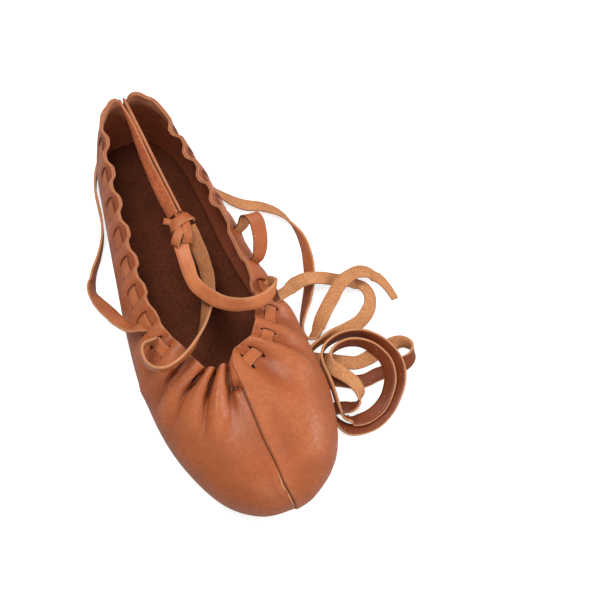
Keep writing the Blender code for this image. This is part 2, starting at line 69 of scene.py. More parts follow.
# Sections from heel to toe, in hundredths of the shoe's length, ball width or heel height.
# base is the feather line where the wall meets the sole, rim is the collar's edge, belly and brow are
# the handles that bulge the wall outwards above the base and below the rim.
SECTION_COLUMNS = {
    "base_at": SHOE_LENGTH, "base_lateral": BALL_WIDTH, "base_medial": BALL_WIDTH,
    "rim_at": SHOE_LENGTH, "rim_lateral": BALL_WIDTH, "rim_medial": BALL_WIDTH, "rim_up": HEEL_HEIGHT,
    "belly_out": BALL_WIDTH, "belly_up": HEEL_HEIGHT, "brow_out": BALL_WIDTH, "brow_up": HEEL_HEIGHT,
}
SECTIONS = (
    (2.2, 0.0, 0.0, 2.6, 0.0, 0.0, 98.5, 4.5, 35.3, 2.3, -26.5),
    (3.7, 17.0, 17.0, 3.3, 11.4, 11.4, 100.0, 4.5, 35.3, 3.4, -29.4),
    (11.1, 27.3, 28.4, 9.3, 21.6, 20.5, 95.6, 5.7, 32.4, 4.5, -26.5),
    (23.0, 33.0, 31.8, 21.1, 28.4, 27.3, 83.8, 8.0, 27.9, 9.1, -20.6),
    (37.0, 39.8, 33.0, 34.4, 33.0, 31.8, 73.5, 12.5, 25.0, 10.2, -17.6),
    (51.9, 47.7, 38.6, 47.0, 36.4, 33.0, 70.6, 14.8, 26.5, 13.6, -14.7),
    (65.9, 53.4, 46.6, 57.4, 33.0, 28.4, 73.5, 14.8, 32.4, 22.7, -8.8),
    (79.3, 51.6, 50.0, 64.4, 22.7, 17.0, 76.5, 13.6, 39.7, 31.8, -4.4),
    (91.8, 38.6, 39.8, 66.9, 17.0, 12.5, 77.4, 11.4, 44.1, 38.0, -5.4),
    (98.0, 18.5, 19.3, 69.0, 9.1, 5.9, 77.9, 10.2, 44.1, 45.5, -6.6),
    (99.1, -3.4, 3.4, 69.8, 1.7, -1.7, 77.9, 10.2, 44.1, 50.0, -7.4),
)


def section_loop():
    """Section rows once round the shoe: heel, lateral side, toe, medial side."""
    sizes = np.array(SECTIONS) / 100 * np.array(list(SECTION_COLUMNS.values()))
    base_at, base_lat, base_med, rim_at, rim_lat, rim_med = sizes[:, :6].T
    shared = sizes[:, 6:]
    middle, heel = LAST_CENTRE[0], LAST_CENTRE[1] + SHOE_LENGTH / 2
    base_y, rim_y = heel - base_at, heel - rim_at
    lateral = np.column_stack([middle - base_lat, base_y, middle - rim_lat, rim_y, shared])
    medial = np.column_stack([middle + base_med, base_y, middle + rim_med, rim_y, shared])
    return np.vstack([lateral, medial[-2:0:-1]])


LOOP = section_loop()
LOOP_FINE = 200
FINE_U = np.linspace(0, len(LOOP), LOOP_FINE * len(LOOP) + 1)
TOE_U = len(SECTIONS) - 1.0


def curve_between(a, b, c, d, t):
    """Smooth curve from b to c, whose neighbours are a and d, at share t of the way."""
    return b + 0.5 * t * (c - a + t * (2 * a - 5 * b + 4 * c - d + t * (3 * (b - c) + d - a)))


def lengths_along(points):
    """Distance along a line of points, at each of them."""
    return np.concatenate([[0], np.cumsum(np.linalg.norm(np.diff(points, axis=0), axis=1))])


def section(u):
    """Section values at loop position u, on a closed curve through the rows."""
    u = np.asarray(u, float)
    k = np.floor(u).astype(int)
    rows = (LOOP[(k + step) % len(LOOP)] for step in (-1, 0, 1, 2))
    return curve_between(*rows, (u - k)[:, None])


def toe_spring(y):
    past = np.clip((LAST_CENTRE[1] + SHOE_LENGTH / 2 - y - SPRING_START) / SPRING_LENGTH, 0, None)
    return TOE_SPRING * past ** 2


def base_curve(u):
    s = section(u)
    return np.column_stack([s[:, 0], s[:, 1], FEATHER_Z + toe_spring(s[:, 1])])


def outward(curve, u):
    """Level unit vector that points away from the foot at each point of a loop."""
    step = 1e-3
    d = curve(u + step) - curve(u - step)
    n = np.column_stack([d[:, 1], -d[:, 0], np.zeros(len(d))])
    return n / np.linalg.norm(n, axis=1, keepdims=True)


def even_loop(inset):
    """The feather line moved inwards, with as many points on the lateral as on the medial side."""
    at = lengths_along(base_curve(FINE_U))
    toe = np.interp(TOE_U, FINE_U, at)
    lateral = np.linspace(0, toe, PLATE_STEPS + 1)
    medial = np.linspace(toe, at[-1], PLATE_STEPS + 1)[1:-1]
    place = np.interp(np.concatenate([lateral, medial]), at, FINE_U)
    loop = base_curve(place) - outward(base_curve, place) * inset
    loop[:, 2] = toe_spring(loop[:, 1])
    return loop


def add_object(name, data):
    item = bpy.data.objects.new(name, data)
    bpy.context.scene.collection.objects.link(item)
    return item


def add_piece(name, points, faces, materials, kinds, values=None):
    """A piece of the shoe: points in millimetres, a material for each kind of face, values for shading."""
    mesh = bpy.data.meshes.new(name)
    mesh.from_pydata((np.asarray(points) * MM).tolist(), [], [[int(k) for k in face] for face in faces])
    for material in materials:
        mesh.materials.append(material)
    mesh.polygons.foreach_set("material_index", np.asarray(kinds, np.int32))
    for key, numbers in (values or {}).items():
        layer = mesh.attributes.new(key, "FLOAT", "POINT")
        layer.data.foreach_set("value", np.asarray(numbers, np.float32))
    mesh.shade_smooth()
    mesh.update()
    piece = add_object(name, mesh)
    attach(piece, "root")
    return piece


def set_inputs(tree, item, inputs):
    """Sets a node's inputs, each to a value or to another node's output."""
    for key, value in inputs.items():
        if isinstance(value, bpy.types.NodeSocket):
            tree.links.new(value, item.inputs[key])
        else:
            item.inputs[key].default_value = value


def add_node(tree, kind, inputs=(), **settings):
    """A shader node with its settings and inputs."""
    item = tree.nodes.new("ShaderNode" + kind)
    for key, value in settings.items():
        setattr(item, key, value)
    set_inputs(tree, item, dict(inputs))
    return item


def darker(colour, share):
    return tuple(share * c for c in colour)


def mixed(tree, share, first, second):
    """Colour between two, which are colours or sockets, by a share that is a number or a socket."""
    first, second = ((*c, 1.0) if isinstance(c, tuple) else c for c in (first, second))
    return add_node(tree, "Mix", {0: share, 6: first, 7: second}, data_type="RGBA").outputs[2]


def combined(tree, operation, *values):
    """Values joined by a sum, a product or the like."""
    return add_node(tree, "Math", dict(enumerate(values)), operation=operation).outputs[0]


def ranged(tree, value, low, high, to_low=0.0, to_high=1.0):
    """A value moved smoothly from one range to another, and held at its ends."""
    inputs = {"Value": value, "From Min": low, "From Max": high, "To Min": to_low, "To Max": to_high}
    return add_node(tree, "MapRange", inputs, interpolation_type="SMOOTHSTEP").outputs["Result"]


def noise(tree, scale, detail=3.0, rough=0.55):
    """Noise in the shoe's own space, at so many features for each metre."""
    place = add_node(tree, "TexCoord").outputs["Object"]
    inputs = {"Vector": place, "Scale": scale, "Detail": detail, "Roughness": rough}
    return add_node(tree, "TexNoise", inputs).outputs["Fac"]


def new_material(name):
    material = bpy.data.materials.new(name)
    material.use_nodes = True
    tree = material.node_tree
    return material, tree, tree.nodes["Principled BSDF"]


def bumped(tree, height, strength, deep=0.4):
    """Normal of a surface with fine relief, so many millimetres deep at full strength."""
    return add_node(tree, "Bump", {"Height": height, "Strength": strength, "Distance": deep * MM}).outputs[0]


def rubber(name, colour, tread):
    material, tree, shader = new_material(name)
    height = noise(tree, 900.0)
    shade = mixed(tree, ranged(tree, noise(tree, 35.0), 0.3, 0.7), colour, darker(colour, 0.86))
    if tread:
        place = add_node(tree, "TexCoord").outputs["Object"]
        inputs = {"Vector": place, "Scale": WAVE_TURN / (TREAD_PITCH * MM), "Distortion": 0.0}
        rows = [add_node(tree, "TexWave", inputs, bands_direction=way).outputs["Fac"] for way in "XY"]
        grid = combined(tree, "MAXIMUM", *rows)
        height = ranged(tree, grid, 0.55, 0.9)
        shade = mixed(tree, ranged(tree, grid, 0.5, 0.95, 0.0, 0.28), shade, darker(colour, 0.6))
    normal = bumped(tree, height, TREAD_BUMP if tread else EDGE_BUMP)
    set_inputs(tree, shader, {"Base Color": shade, "Roughness": 0.55, "Normal": normal})
    return material


def build_plate(name, rings, materials, bottom):
    """A flat piece of foot outline: rings of (inset, height), closed below and above by cross strips."""
    loops = []
    for inset, height in rings:
        loop = even_loop(inset)
        loop[:, 2] += height
        loops.append(loop)
    count = len(loops[0])
    faces, kinds = [], []
    for ring in range(len(loops) - 1):
        for k in range(count):
            low, after = ring * count + k, ring * count + (k + 1) % count
            faces.append((low + count, after + count, after, low))
            kinds.append(0)
    for ring, kind in ((0, bottom), (len(loops) - 1, 0)):
        for k in range(PLATE_STEPS):
            strip = (k, k + 1, (count - k - 1) % count, (count - k) % count)
            strip = [ring * count + i for i in dict.fromkeys(strip)]
            faces.append(strip if ring == 0 else strip[::-1])
            kinds.append(kind)
    return add_piece(name, np.vstack(loops), faces, materials, kinds)


# Rings of the sheet from its underside upwards: inset from the feather line, height.
SOLE_RINGS = (
    (1.0, 0.0), (0.6, 0.15), (0.0, SOLE_BEVEL), (-0.1, SOLE_BEVEL + 0.3), (-0.1, SOLE_THICK - 0.3),
    (0.0, SOLE_THICK - 0.05), (0.3, SOLE_THICK + 0.1),
)
rubbers = [rubber("rubber_edge", RUBBER_SIDE, False), rubber("rubber_tread", RUBBER_TREAD, True)]
outsole = build_plate("outsole_sheet", SOLE_RINGS, rubbers, 1)
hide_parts("outsole")


# Insole: a board covered with reddish-brown suede, laid inside over the turned-in margin of the upper
# and glued down. Its nap is short and a little patchy.
INSOLE_THICK = 2.0
INSOLE_INSET = 3.0
INSOLE_BOTTOM = FEATHER_Z + WALL / 2 + GAP
INSOLE_DARK = (0.060, 0.014, 0.006)
INSOLE_LIGHT = (0.126, 0.031, 0.012)


def new_group(name, keys):
    """A shader node group that puts out values, and its output node."""
    group = bpy.data.node_groups.new(name, "ShaderNodeTree")
    for key in keys:
        group.interface.new_socket(key, in_out="OUTPUT", socket_type="NodeSocketFloat")
    return group, group.nodes.new("NodeGroupOutput")


def suede_group():
    """Nap of suede: a height for the bump and a tone from 0 to 1 for the colour."""
    group, out = new_group("suede_nap", ("Height", "Tone"))
    fibre = noise(group, 950.0, 6.0, 0.75)
    patch = noise(group, 90.0, 4.0, 0.6)
    both = combined(group, "MULTIPLY_ADD", patch, 0.3, fibre)
    set_inputs(group, out, {"Height": both, "Tone": ranged(group, both, 0.48, 0.82)})
    return group


SUEDE = suede_group()


def attribute(tree, key):
    return add_node(tree, "Attribute", attribute_name=key).outputs["Fac"]


def suede(name, dark, light, lit_rubbed=None):
    """Napped leather; if a paler colour is given, it is laid on in patches as painted light with rubbed wear.
    """
    material, tree, shader = new_material(name)
    nap = add_node(tree, "Group", node_tree=SUEDE)
    shade = mixed(tree, nap.outputs["Tone"], dark, light)
    if lit_rubbed:
        share = attribute(tree, "lit_rubbed")
        patch = ranged(tree, noise(tree, 160.0, 4.0, 0.6), 0.35, 0.65, 0.45, 1.0)
        shade = mixed(tree, combined(tree, "MULTIPLY", share, patch), shade, lit_rubbed)
    normal = bumped(tree, nap.outputs["Height"], 0.5)
    set_inputs(tree, shader, {"Base Color": shade, "Roughness": 0.95, "Specular IOR Level": 0.2,
                              "Normal": normal})
    return material


INSOLE_TOP = INSOLE_BOTTOM + INSOLE_THICK
# Rings of the board from its underside upwards: inset from the feather line, height.
INSOLE_RINGS = (
    (INSOLE_INSET, INSOLE_BOTTOM), (INSOLE_INSET, INSOLE_BOTTOM + 0.8), (0.9, INSOLE_BOTTOM + 1.3),
    (0.3, INSOLE_TOP + 0.5), (1.6, INSOLE_TOP + 0.5), (4.0, INSOLE_TOP),
)
insole = build_plate("insole_board", INSOLE_RINGS, [suede("insole_suede", INSOLE_DARK, INSOLE_LIGHT)], 0)
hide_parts("insole")


# Upper: one body of cognac leather with a suede lining, closed by a seam at the heel and one over the toe.
# Slits are cut below the collar's raw edge, and the thong drawn through them gathers it into folds.
HEEL_NOTCH_DEPTH = 14.0
# Narrower than in the solid, where the straps pass clear of the wall.
HEEL_NOTCH_HALF = 2.7
MARGIN = 10.0
# Folds along both sides: height and fade, which is how far below the slits a fold runs out. The throat's rows
# are place along the rim from the heel seam, height and fade.
SIDE_FOLD = (1.7, 16.0)
LATERAL_FIRST = 25.0
LATERAL_PITCH = 9.4
LATERAL_COUNT = 14
LATERAL_THROAT = (
    (156.5, 1.7, 20.0), (165.0, 1.9, 24.0), (172.0, 2.1, 30.0), (179.0, 2.2, 36.0), (184.3, 2.2, 42.0),
    (189.5, 2.2, 44.0), (193.6, 2.2, 44.0), (197.6, 2.2, 44.0), (201.0, 2.2, 40.0), (204.6, 1.8, 34.0),
)
MEDIAL_FIRST = 32.7
MEDIAL_PITCH = 8.25
MEDIAL_COUNT = 9
MEDIAL_THROAT = (
    (122.0, 0.8, 16.0), (143.0, 1.2, 16.0), (151.0, 1.6, 18.0), (160.0, 1.8, 24.0), (169.0, 1.8, 26.0),
    (176.0, 2.2, 34.0), (183.5, 2.2, 36.0), (190.5, 2.3, 40.0), (197.0, 2.2, 38.0), (203.0, 2.0, 40.0),
)
SLIT_TOP = 4.0
SLIT_BOTTOM = 14.0
LACE_DEPTH = (SLIT_TOP + SLIT_BOTTOM) / 2
# A slit's width, its most as a share of the way between two folds, and how far it closes at both ends.
SLIT_OPEN = 2.1
SLIT_SHARE = 0.4
SLIT_POINTED = 0.85
# Stretch of the lateral throat where the folds are pressed together and hide the lace, how far before it that
# reaches, and how much stronger its ridges and valleys are.
THROAT = (174.0, 207.0)
THROAT_BEFORE = 3.0
THROAT_SWELL = (1.55, 2.4)
# The throat's gaps: height below which a fold is one, how soon it closes, share that runs on as a trough.
THROAT_GAP = (-3.0, 15.0, 0.46)
# The throat's folds lean to the lateral side on their way down: by how much, how far before the throat that
# starts, over what length, and how close to the toe seam it ends.
THROAT_LEAN = (0.10, 12.0, 10.0, 6.0)
# Its slits, how wide they are, and the step of the columns there.
THROAT_SLITS = (175.9, 179.2, 187.2, 188.9, 194.9, 197.4, 203.8, 206.2)
THROAT_OPEN = 0.5
THROAT_STEP = 0.6
# Share of a side fold's height that is lost between the rim and the lace.
SIDE_SOFTER = 0.55
# Place where the folds start beside the heel seam, over what length, and how soon the other folds rise.
HEEL_EASE = (14.5, 6.5)
TURN = 2.9
COLUMN_STEP = 1.3
SEAM_COLUMNS = (0.2, 0.45, 0.7, 1.0, 1.3, 1.6, 2.0, 2.5)
RIM_ROWS = (1.4, 2.6, SLIT_TOP, 6.0, 8.0, 10.0, 12.0, SLIT_BOTTOM, 15.5, 17.0, 18.5, 20.0, 22.0, 24.0, 26.0,
            28.0)
LOWER_ROWS = 24
LINE_STEPS = 81
# The rim's cut edge, from outside to inside: across the wall's thickness, height above the rim line.
RIM_EDGE = ((1.2, -0.5), (1.05, -0.1), (0.7, 0.12), (0.3, 0.02), (0.08, -0.35), (-0.08, -0.35), (-0.3, 0.0),
            (-0.7, 0.08), (-1.05, -0.15), (-1.2, -0.55))
# The seam over the toe bows to the lateral side: how far, and how far off the wall still follows it.
SEAM_BOW = (3.0, 20.0)
# It wavers: how far, how long a wave is, the share of the seam where that starts, over what share.
SEAM_WAVER = (0.5, 5.2, 0.3, 0.5)
# Depth where the seam starts, over what depth; its groove's depth and half width.
SEAM_START = (12.0, 4.0)
SEAM_GROOVE = (1.4, 0.34)
# Heel seam: depth, half width, and the share of the distance from it that its dark line counts.
HEEL_SEAM = (0.7, 0.9, 0.4)
# Step up to the medial side at the toe seam: most, reach, least, share of the seam where that is met.
SEAM_STEP = (2.6, 6.0, 1.1, 0.4)
# Depth where that step starts, over what depth; distance added above the seam, so that no dark line shows.
STEP_START = (-2.0, 6.0)
SEAM_CLEAR = 2.0
# Raw edge beside the lower seam: distance, half width, height, where along the seam it starts and is full.
SEAM_RAW = (-0.9, 0.62, 0.35, 0.54, 0.80)
# How the raw edge's cut wanders: how far and how long a wave is.
RAW_WANDER = ((0.3, 1.9), (0.2, 0.81))
# Trough under the medial side's edge along the upper seam: depth, distance, half width, share of the seam.
SEAM_SHADE = (2.6, -1.3, 1.5, 0.45)
# Gap where the two sides part above the seam: how deep, half width, depth below the rim, half height.
SEAM_GAP = (5.5, 2.7, 14.4, 1.6)
# Soft creases pressed in by wear: height, half width, then places along the rim and depths below it. Each
# runs out over the last part of its length.
CREASE_END = 0.25
CREASE_STEP = 4.0
CREASES = (
    (2.2, 4.0, ((-186.0, 2.0), (-188.0, 17.0), (-187.0, 33.0), (-188.0, 44.0))),
    (-2.0, 3.2, ((-192.0, 4.0), (-193.0, 15.0), (-190.0, 28.0))),
    (1.8, 11.0, ((-199.0, 31.0), (-198.0, 58.0), (-201.0, 76.0))),
    (-0.9, 5.0, ((-203.0, 28.0), (-204.0, 50.0), (-205.0, 66.0))),
    (-0.9, 3.5, ((-176.0, 10.0), (-178.0, 26.0), (-180.0, 40.0))),
    (0.9, 4.0, ((166.0, 14.0), (164.0, 34.0), (160.0, 48.0))),
    (-0.8, 4.0, ((174.0, 18.0), (172.0, 38.0), (168.0, 54.0))),
    (-1.1, 2.6, ((-22.0, 22.0), (-34.0, 26.0), (-44.0, 24.0))),
)
# Stretches where the gathered rim is drawn out of line: place, half width, depth reached, x, y, z.
RIM_DRAWS = ((-199.0, 9.0, 34.0, -4.0, 6.8, 1.2), (184.0, 7.0, 26.0, -0.5, -6.4, 0.0),
             (193.0, 6.0, 24.0, 0.0, -3.5, 0.0))
LEATHER_DARK = (0.25, 0.052, 0.014)
LEATHER_MID = (0.41, 0.104, 0.031)
LEATHER_LIGHT = (0.50, 0.150, 0.054)
RAW_EDGE = (0.48, 0.175, 0.075)
SEAM_EDGE = (0.62, 0.27, 0.12)
# Painted shade: the slits' cut walls take this dark colour in place of the pale edge, so each slit shows as a
# dark line.
SLIT_SHADE = (0.11, 0.024, 0.009)
LINING_DARK = (0.195, 0.046, 0.018)
LINING_LIGHT = (0.370, 0.097, 0.040)
LINING_LIT_RUBBED = (0.56, 0.235, 0.130)
# Band near the heel's rim where the lining is painted paler, as painted light with rubbed wear: lowest depth,
# over what depth, distance from the heel, over what length.
LINING_LIT_BAND = (18.0, 12.0, 46.0, 14.0)


def plain_rim(u):
    return section(u)[:, 2:5]


def rim_curve(u):
    """The collar's edge, with the notch between the two heel lobes."""
    rim = plain_rim(u)
    at_heel = rim[:, 1] > 0
    across = (rim[:, 0] - LAST_CENTRE[0]) / HEEL_NOTCH_HALF
    rim[:, 2] -= at_heel * HEEL_NOTCH_DEPTH * np.exp(-across ** 2)
    return rim


RIM_AT = lengths_along(plain_rim(FINE_U))
RIM_LENGTH = RIM_AT[-1]
TOE_AT = np.interp(TOE_U, FINE_U, RIM_AT)


def rim_place(at):
    """Loop position of a place given as millimetres along the rim from the heel seam."""
    return np.interp(np.mod(at, RIM_LENGTH), RIM_AT, FINE_U)


def wall_lines(u):
    """Fine lines from the rim down to the feather line, and each point's distance below the rim."""
    base, rim, sizes = base_curve(u), rim_curve(u), section(u)
    up = np.array([0.0, 0.0, 1.0])
    belly = base + outward(base_curve, u) * sizes[:, 5:6] + up * sizes[:, 6:7]
    brow = rim + outward(plain_rim, u) * sizes[:, 7:8] + up * sizes[:, 8:9]
    v = np.linspace(1, 0, LINE_STEPS)[None, :, None]
    w = 1 - v
    lines = (w ** 3 * base[:, None] + 3 * w * w * v * belly[:, None]
             + 3 * w * v * v * brow[:, None] + v ** 3 * rim[:, None])
    steps = np.linalg.norm(np.diff(lines, axis=1), axis=2)
    depth = np.concatenate([np.zeros((len(lines), 1)), np.cumsum(steps, axis=1)], axis=1)
    return lines, depth


def points_at(lines, depth, wanted):
    """One point on each line, at the wanted distance below the rim."""
    return np.array([[np.interp(w, d, line[:, k]) for k in range(3)]
                     for line, d, w in zip(lines, depth, wanted)])


def unit(v):
    return v / np.linalg.norm(v, axis=-1, keepdims=True)


def eased(value):
    """Smooth step from 0 to 1."""
    value = np.clip(value, 0, 1)
    return value * value * (3 - 2 * value)


def drawn(at, depth):
    """Shift of wall points where the gathered rim is drawn out of line."""
    shift = np.zeros(np.broadcast(at, depth).shape + (3,))
    for place, half, reach, *way in RIM_DRAWS:
        off = (at - place + RIM_LENGTH / 2) % RIM_LENGTH - RIM_LENGTH / 2
        shift += (np.exp(-(off / half) ** 2) * (1 - eased(depth / reach)))[..., None] * np.array(way)
    return shift


def fold_rows():
    """All folds in order round the rim: place, signed height (ridge +, valley -), fade."""
    lateral = [(LATERAL_FIRST + LATERAL_PITCH * k, *SIDE_FOLD) for k in range(LATERAL_COUNT)]
    lateral += LATERAL_THROAT
    medial = [(MEDIAL_FIRST + MEDIAL_PITCH * k, *SIDE_FOLD) for k in range(MEDIAL_COUNT)]
    medial += MEDIAL_THROAT
    rows = lateral + [(RIM_LENGTH - at, fold, fade) for at, fold, fade in reversed(medial)]
    return np.array([(at, fold * (-1) ** k, fade) for k, (at, fold, fade) in enumerate(rows)])


FOLDS = fold_rows()
IN_THROAT = (FOLDS[:, 0] > THROAT[0]) & (FOLDS[:, 0] < THROAT[1])
FOLDS[:, 1] *= np.where(IN_THROAT, np.where(FOLDS[:, 1] > 0, *THROAT_SWELL), 1.0)
SLITS = (FOLDS[:-1, 0] + FOLDS[1:, 0]) / 2
SQUEEZED = (FOLDS[:-1, 0] > THROAT[0] - THROAT_BEFORE) & (FOLDS[:-1, 0] < THROAT[1])
SLITS[SQUEEZED] = THROAT_SLITS
SIDE_OPEN = np.minimum(SLIT_OPEN, SLIT_SHARE * np.diff(FOLDS[:, 0]))
SLIT_HALF = np.where(SQUEEZED, THROAT_OPEN, SIDE_OPEN) / 2


def fold_at(at):
    """Signed height of the folds at places along the rim, how far each has risen, and its fade."""
    at = np.asarray(at, float)
    fold = np.searchsorted(SLITS, at)
    ends = np.concatenate([[HEEL_EASE[0]], SLITS, [RIM_LENGTH - HEEL_EASE[0]]])
    before, after = at - ends[fold], ends[fold + 1] - at
    turn_before = np.where(fold == 0, HEEL_EASE[1], TURN)
    turn_after = np.where(fold == len(FOLDS) - 1, HEEL_EASE[1], TURN)
    turn_before = np.where(IN_THROAT[fold], (before + after) / 2, turn_before)
    turn_after = np.where(IN_THROAT[fold], (before + after) / 2, turn_after)
    share = np.minimum(np.clip(before / turn_before, 0, 1), np.clip(after / turn_after, 0, 1))
    return FOLDS[fold, 1], np.sin(np.pi / 2 * share), FOLDS[fold, 2]


def wall_columns():
    """Places of the wall's columns round the rim, and whether a slit lies between each and the next."""
    marks = [(0.0, False)]
    for slit, half in zip(SLITS, SLIT_HALF):
        marks += [(slit - half, True), (slit + half, False)]
    marks += [(TOE_AT + side * off, False) for off in SEAM_COLUMNS for side in (-1, 1)]
    marks.append((TOE_AT, False))
    toe = [at for at, _ in marks if abs(at - TOE_AT) < SEAM_COLUMNS[-1] + 0.01]
    marks = sorted(set(marks)) + [(RIM_LENGTH, False)]
    places, open_after = [], []
    for (at, opens), (after, _) in zip(marks, marks[1:]):
        step = THROAT_STEP if THROAT[0] < at < THROAT[1] else COLUMN_STEP
        parts = 1 if opens or min(toe) <= at < max(toe) else max(1, int(np.ceil((after - at) / step)))
        places += list(np.linspace(at, after, parts + 1)[:-1])
        open_after += [opens] + [False] * (parts - 1)
    return np.array(places), np.array(open_after)


AT, OPEN_AFTER = wall_columns()
TOE_COLUMN = int(np.argmin(np.abs(AT - TOE_AT)))


def wall_grid():
    """Points of the plain wall's middle surface, its outward normals and depths below the rim."""
    lines, depth = wall_lines(rim_place(AT))
    total = depth[:, -1]
    wanted = [np.full(len(AT), d) for d in (0.0, *RIM_ROWS)]
    shares = np.linspace(0, 1, LOWER_ROWS + 1)[1:]
    wanted += [RIM_ROWS[-1] + share * (total - RIM_ROWS[-1]) for share in shares]
    grid = np.stack([points_at(lines, depth, w) for w in wanted], axis=1)
    below = np.stack(wanted, axis=1)
    grid = grid + drawn(AT[:, None], below)
    along = np.roll(grid, -1, axis=0) - np.roll(grid, 1, axis=0)
    off = np.linalg.norm(grid - grid[TOE_COLUMN], axis=2)
    share = below / below[:, -1:]
    far, wave, start, over = SEAM_WAVER
    waver = far * eased((share - start) / over) * np.sin(below / wave)
    bow = (SEAM_BOW[0] * np.sin(np.pi * share) + waver) * np.exp(-(off / SEAM_BOW[1]) ** 2)
    grid = grid - unit(along) * bow[..., None]
    normal = unit(np.cross(np.gradient(grid, axis=1), along))
    return grid, normal, below


GRID, NORMAL, DEPTH = wall_grid()


def distance_to(line, points):
    """Distance of each point from a polyline, and the share of the way along it."""
    best = np.full(points.shape[:-1], 1e9)
    share = np.zeros(points.shape[:-1])
    for k, (a, b) in enumerate(zip(line, line[1:])):
        along = b - a
        t = np.clip((points - a) @ along / (along @ along), 0, 1)
        gap = np.linalg.norm(points - a - t[..., None] * along, axis=-1)
        share = np.where(gap < best, (k + t) / (len(line) - 1), share)
        best = np.minimum(best, gap)
    return best, share


def wall_points(at, depth):
    """Points of the plain wall at places along the rim and depths below it."""
    return points_at(*wall_lines(rim_place(at)), depth) + drawn(at, depth)


def plain_wall(at, depth):
    """Points of the plain wall and its outward normals there."""
    at, depth = (np.atleast_1d(np.asarray(value, float)) for value in (at, depth))
    before, here, after = (wall_points(at + step, depth) for step in (-0.5, 0.0, 0.5))
    return here, unit(np.cross(wall_points(at, depth + 1) - here, after - before))


def smooth_route(points, step):
    """Points every step along a smooth curve through the route, as values for each column."""
    points = np.asarray(points, float)
    padded = np.vstack([2 * points[0] - points[1], points, 2 * points[-1] - points[-2]])
    t = np.linspace(0, 1, 21)[:-1, None]
    pieces = [curve_between(*rows, t) for rows in zip(padded, padded[1:], padded[2:], padded[3:])]
    fine = np.vstack(pieces + [points[-1:]])
    at = lengths_along(fine[:, :3])
    wanted = np.linspace(0, at[-1], max(2, int(np.ceil(at[-1] / step))) + 1)
    return np.column_stack([np.interp(wanted, at, column) for column in fine.T])


def fold_push(at, depth):
    """How far the folds push the wall out at places along the rim and depths below it."""
    below = np.clip(depth - SLIT_BOTTOM, 0, None)
    lean, before, over, toe = THROAT_LEAN
    lean = lean * eased((at - THROAT[0] + before) / over) * eased((TOE_AT - at) / toe)
    height, rise, fade = fold_at(at + lean * below)
    softer = 1 - SIDE_SOFTER * eased(depth / LACE_DEPTH) * (fade <= SIDE_FOLD[1])
    gap, closes, runs_on = THROAT_GAP
    left = 1 - eased(below / fade)
    left = np.where(height < gap, runs_on * left + (1 - runs_on) * (1 - eased(below / closes)), left)
    return height * rise * softer * left


def wall_relief():
    """How far the wall is pushed out, how far each point is from a seam, and where the raw edge shows."""
    push = fold_push(AT[:, None], DEPTH)
    for tall, half, route in CREASES:
        line, _ = plain_wall(*np.array(route).T)
        off, share = distance_to(smooth_route(line, CREASE_STEP), GRID)
        push = push + tall * np.exp(-(off / half) ** 2) * eased((1 - share) / CREASE_END)
    off, share = distance_to(GRID[TOE_COLUMN], GRID)
    off = off * np.where(AT < TOE_AT, -1.0, 1.0)[:, None]
    lower = eased((DEPTH - SEAM_START[0]) / SEAM_START[1])
    tall, reach, least, falls = SEAM_STEP
    step = least + (tall - least) * (1 - eased(share / falls))
    rising = eased((DEPTH - STEP_START[0]) / STEP_START[1])
    push = push + rising * np.where(off > 0, step * np.exp(-(off / reach) ** 2), 0.0)
    push = push - lower * SEAM_GROOVE[0] * np.exp(-(off / SEAM_GROOVE[1]) ** 2)
    deep, beside, half, reach = SEAM_SHADE
    push = push - lower * deep * np.exp(-((off - beside) / half) ** 2) * (1 - eased(share / reach))
    deep, half, middle, length = SEAM_GAP
    push = push - deep * np.exp(-((off + half) / half) ** 4 - ((DEPTH - middle) / length) ** 2)
    beside, half, tall, start, full = SEAM_RAW
    wander = sum(far * np.sin(DEPTH / wave) for far, wave in RAW_WANDER)
    raw = np.exp(-((off - beside + wander) / half) ** 2) * eased((share - start) / (full - start))
    push = push + tall * raw
    heel, _ = distance_to(GRID[0], GRID)
    push = push - HEEL_SEAM[0] * np.exp(-(heel / HEEL_SEAM[1]) ** 2)
    push[:, -1] = 0
    return push, np.minimum(np.abs(off) + SEAM_CLEAR * (1 - lower), heel * HEEL_SEAM[2]), raw


PUSH, SEAM_OFF, SEAM_RAWNESS = wall_relief()


def leather_group():
    """Grain of smooth leather: a height for the bump, a broad tone and a fine tone for the colour."""
    group, out = new_group("leather_grain", ("Height", "Broad", "Fine"))
    place = add_node(group, "TexCoord").outputs["Object"]
    cells = add_node(group, "TexVoronoi", {"Vector": place, "Scale": 1100.0}, feature="SMOOTH_F1")
    height = combined(group, "ADD", cells.outputs["Distance"], noise(group, 800.0, 5.0, 0.6))
    broad = ranged(group, noise(group, 45.0, 4.0, 0.55), 0.3, 0.7)
    fine = ranged(group, noise(group, 420.0, 4.0, 0.6), 0.3, 0.7)
    set_inputs(group, out, {"Height": height, "Broad": broad, "Fine": fine})
    return group


GRAIN = leather_group()


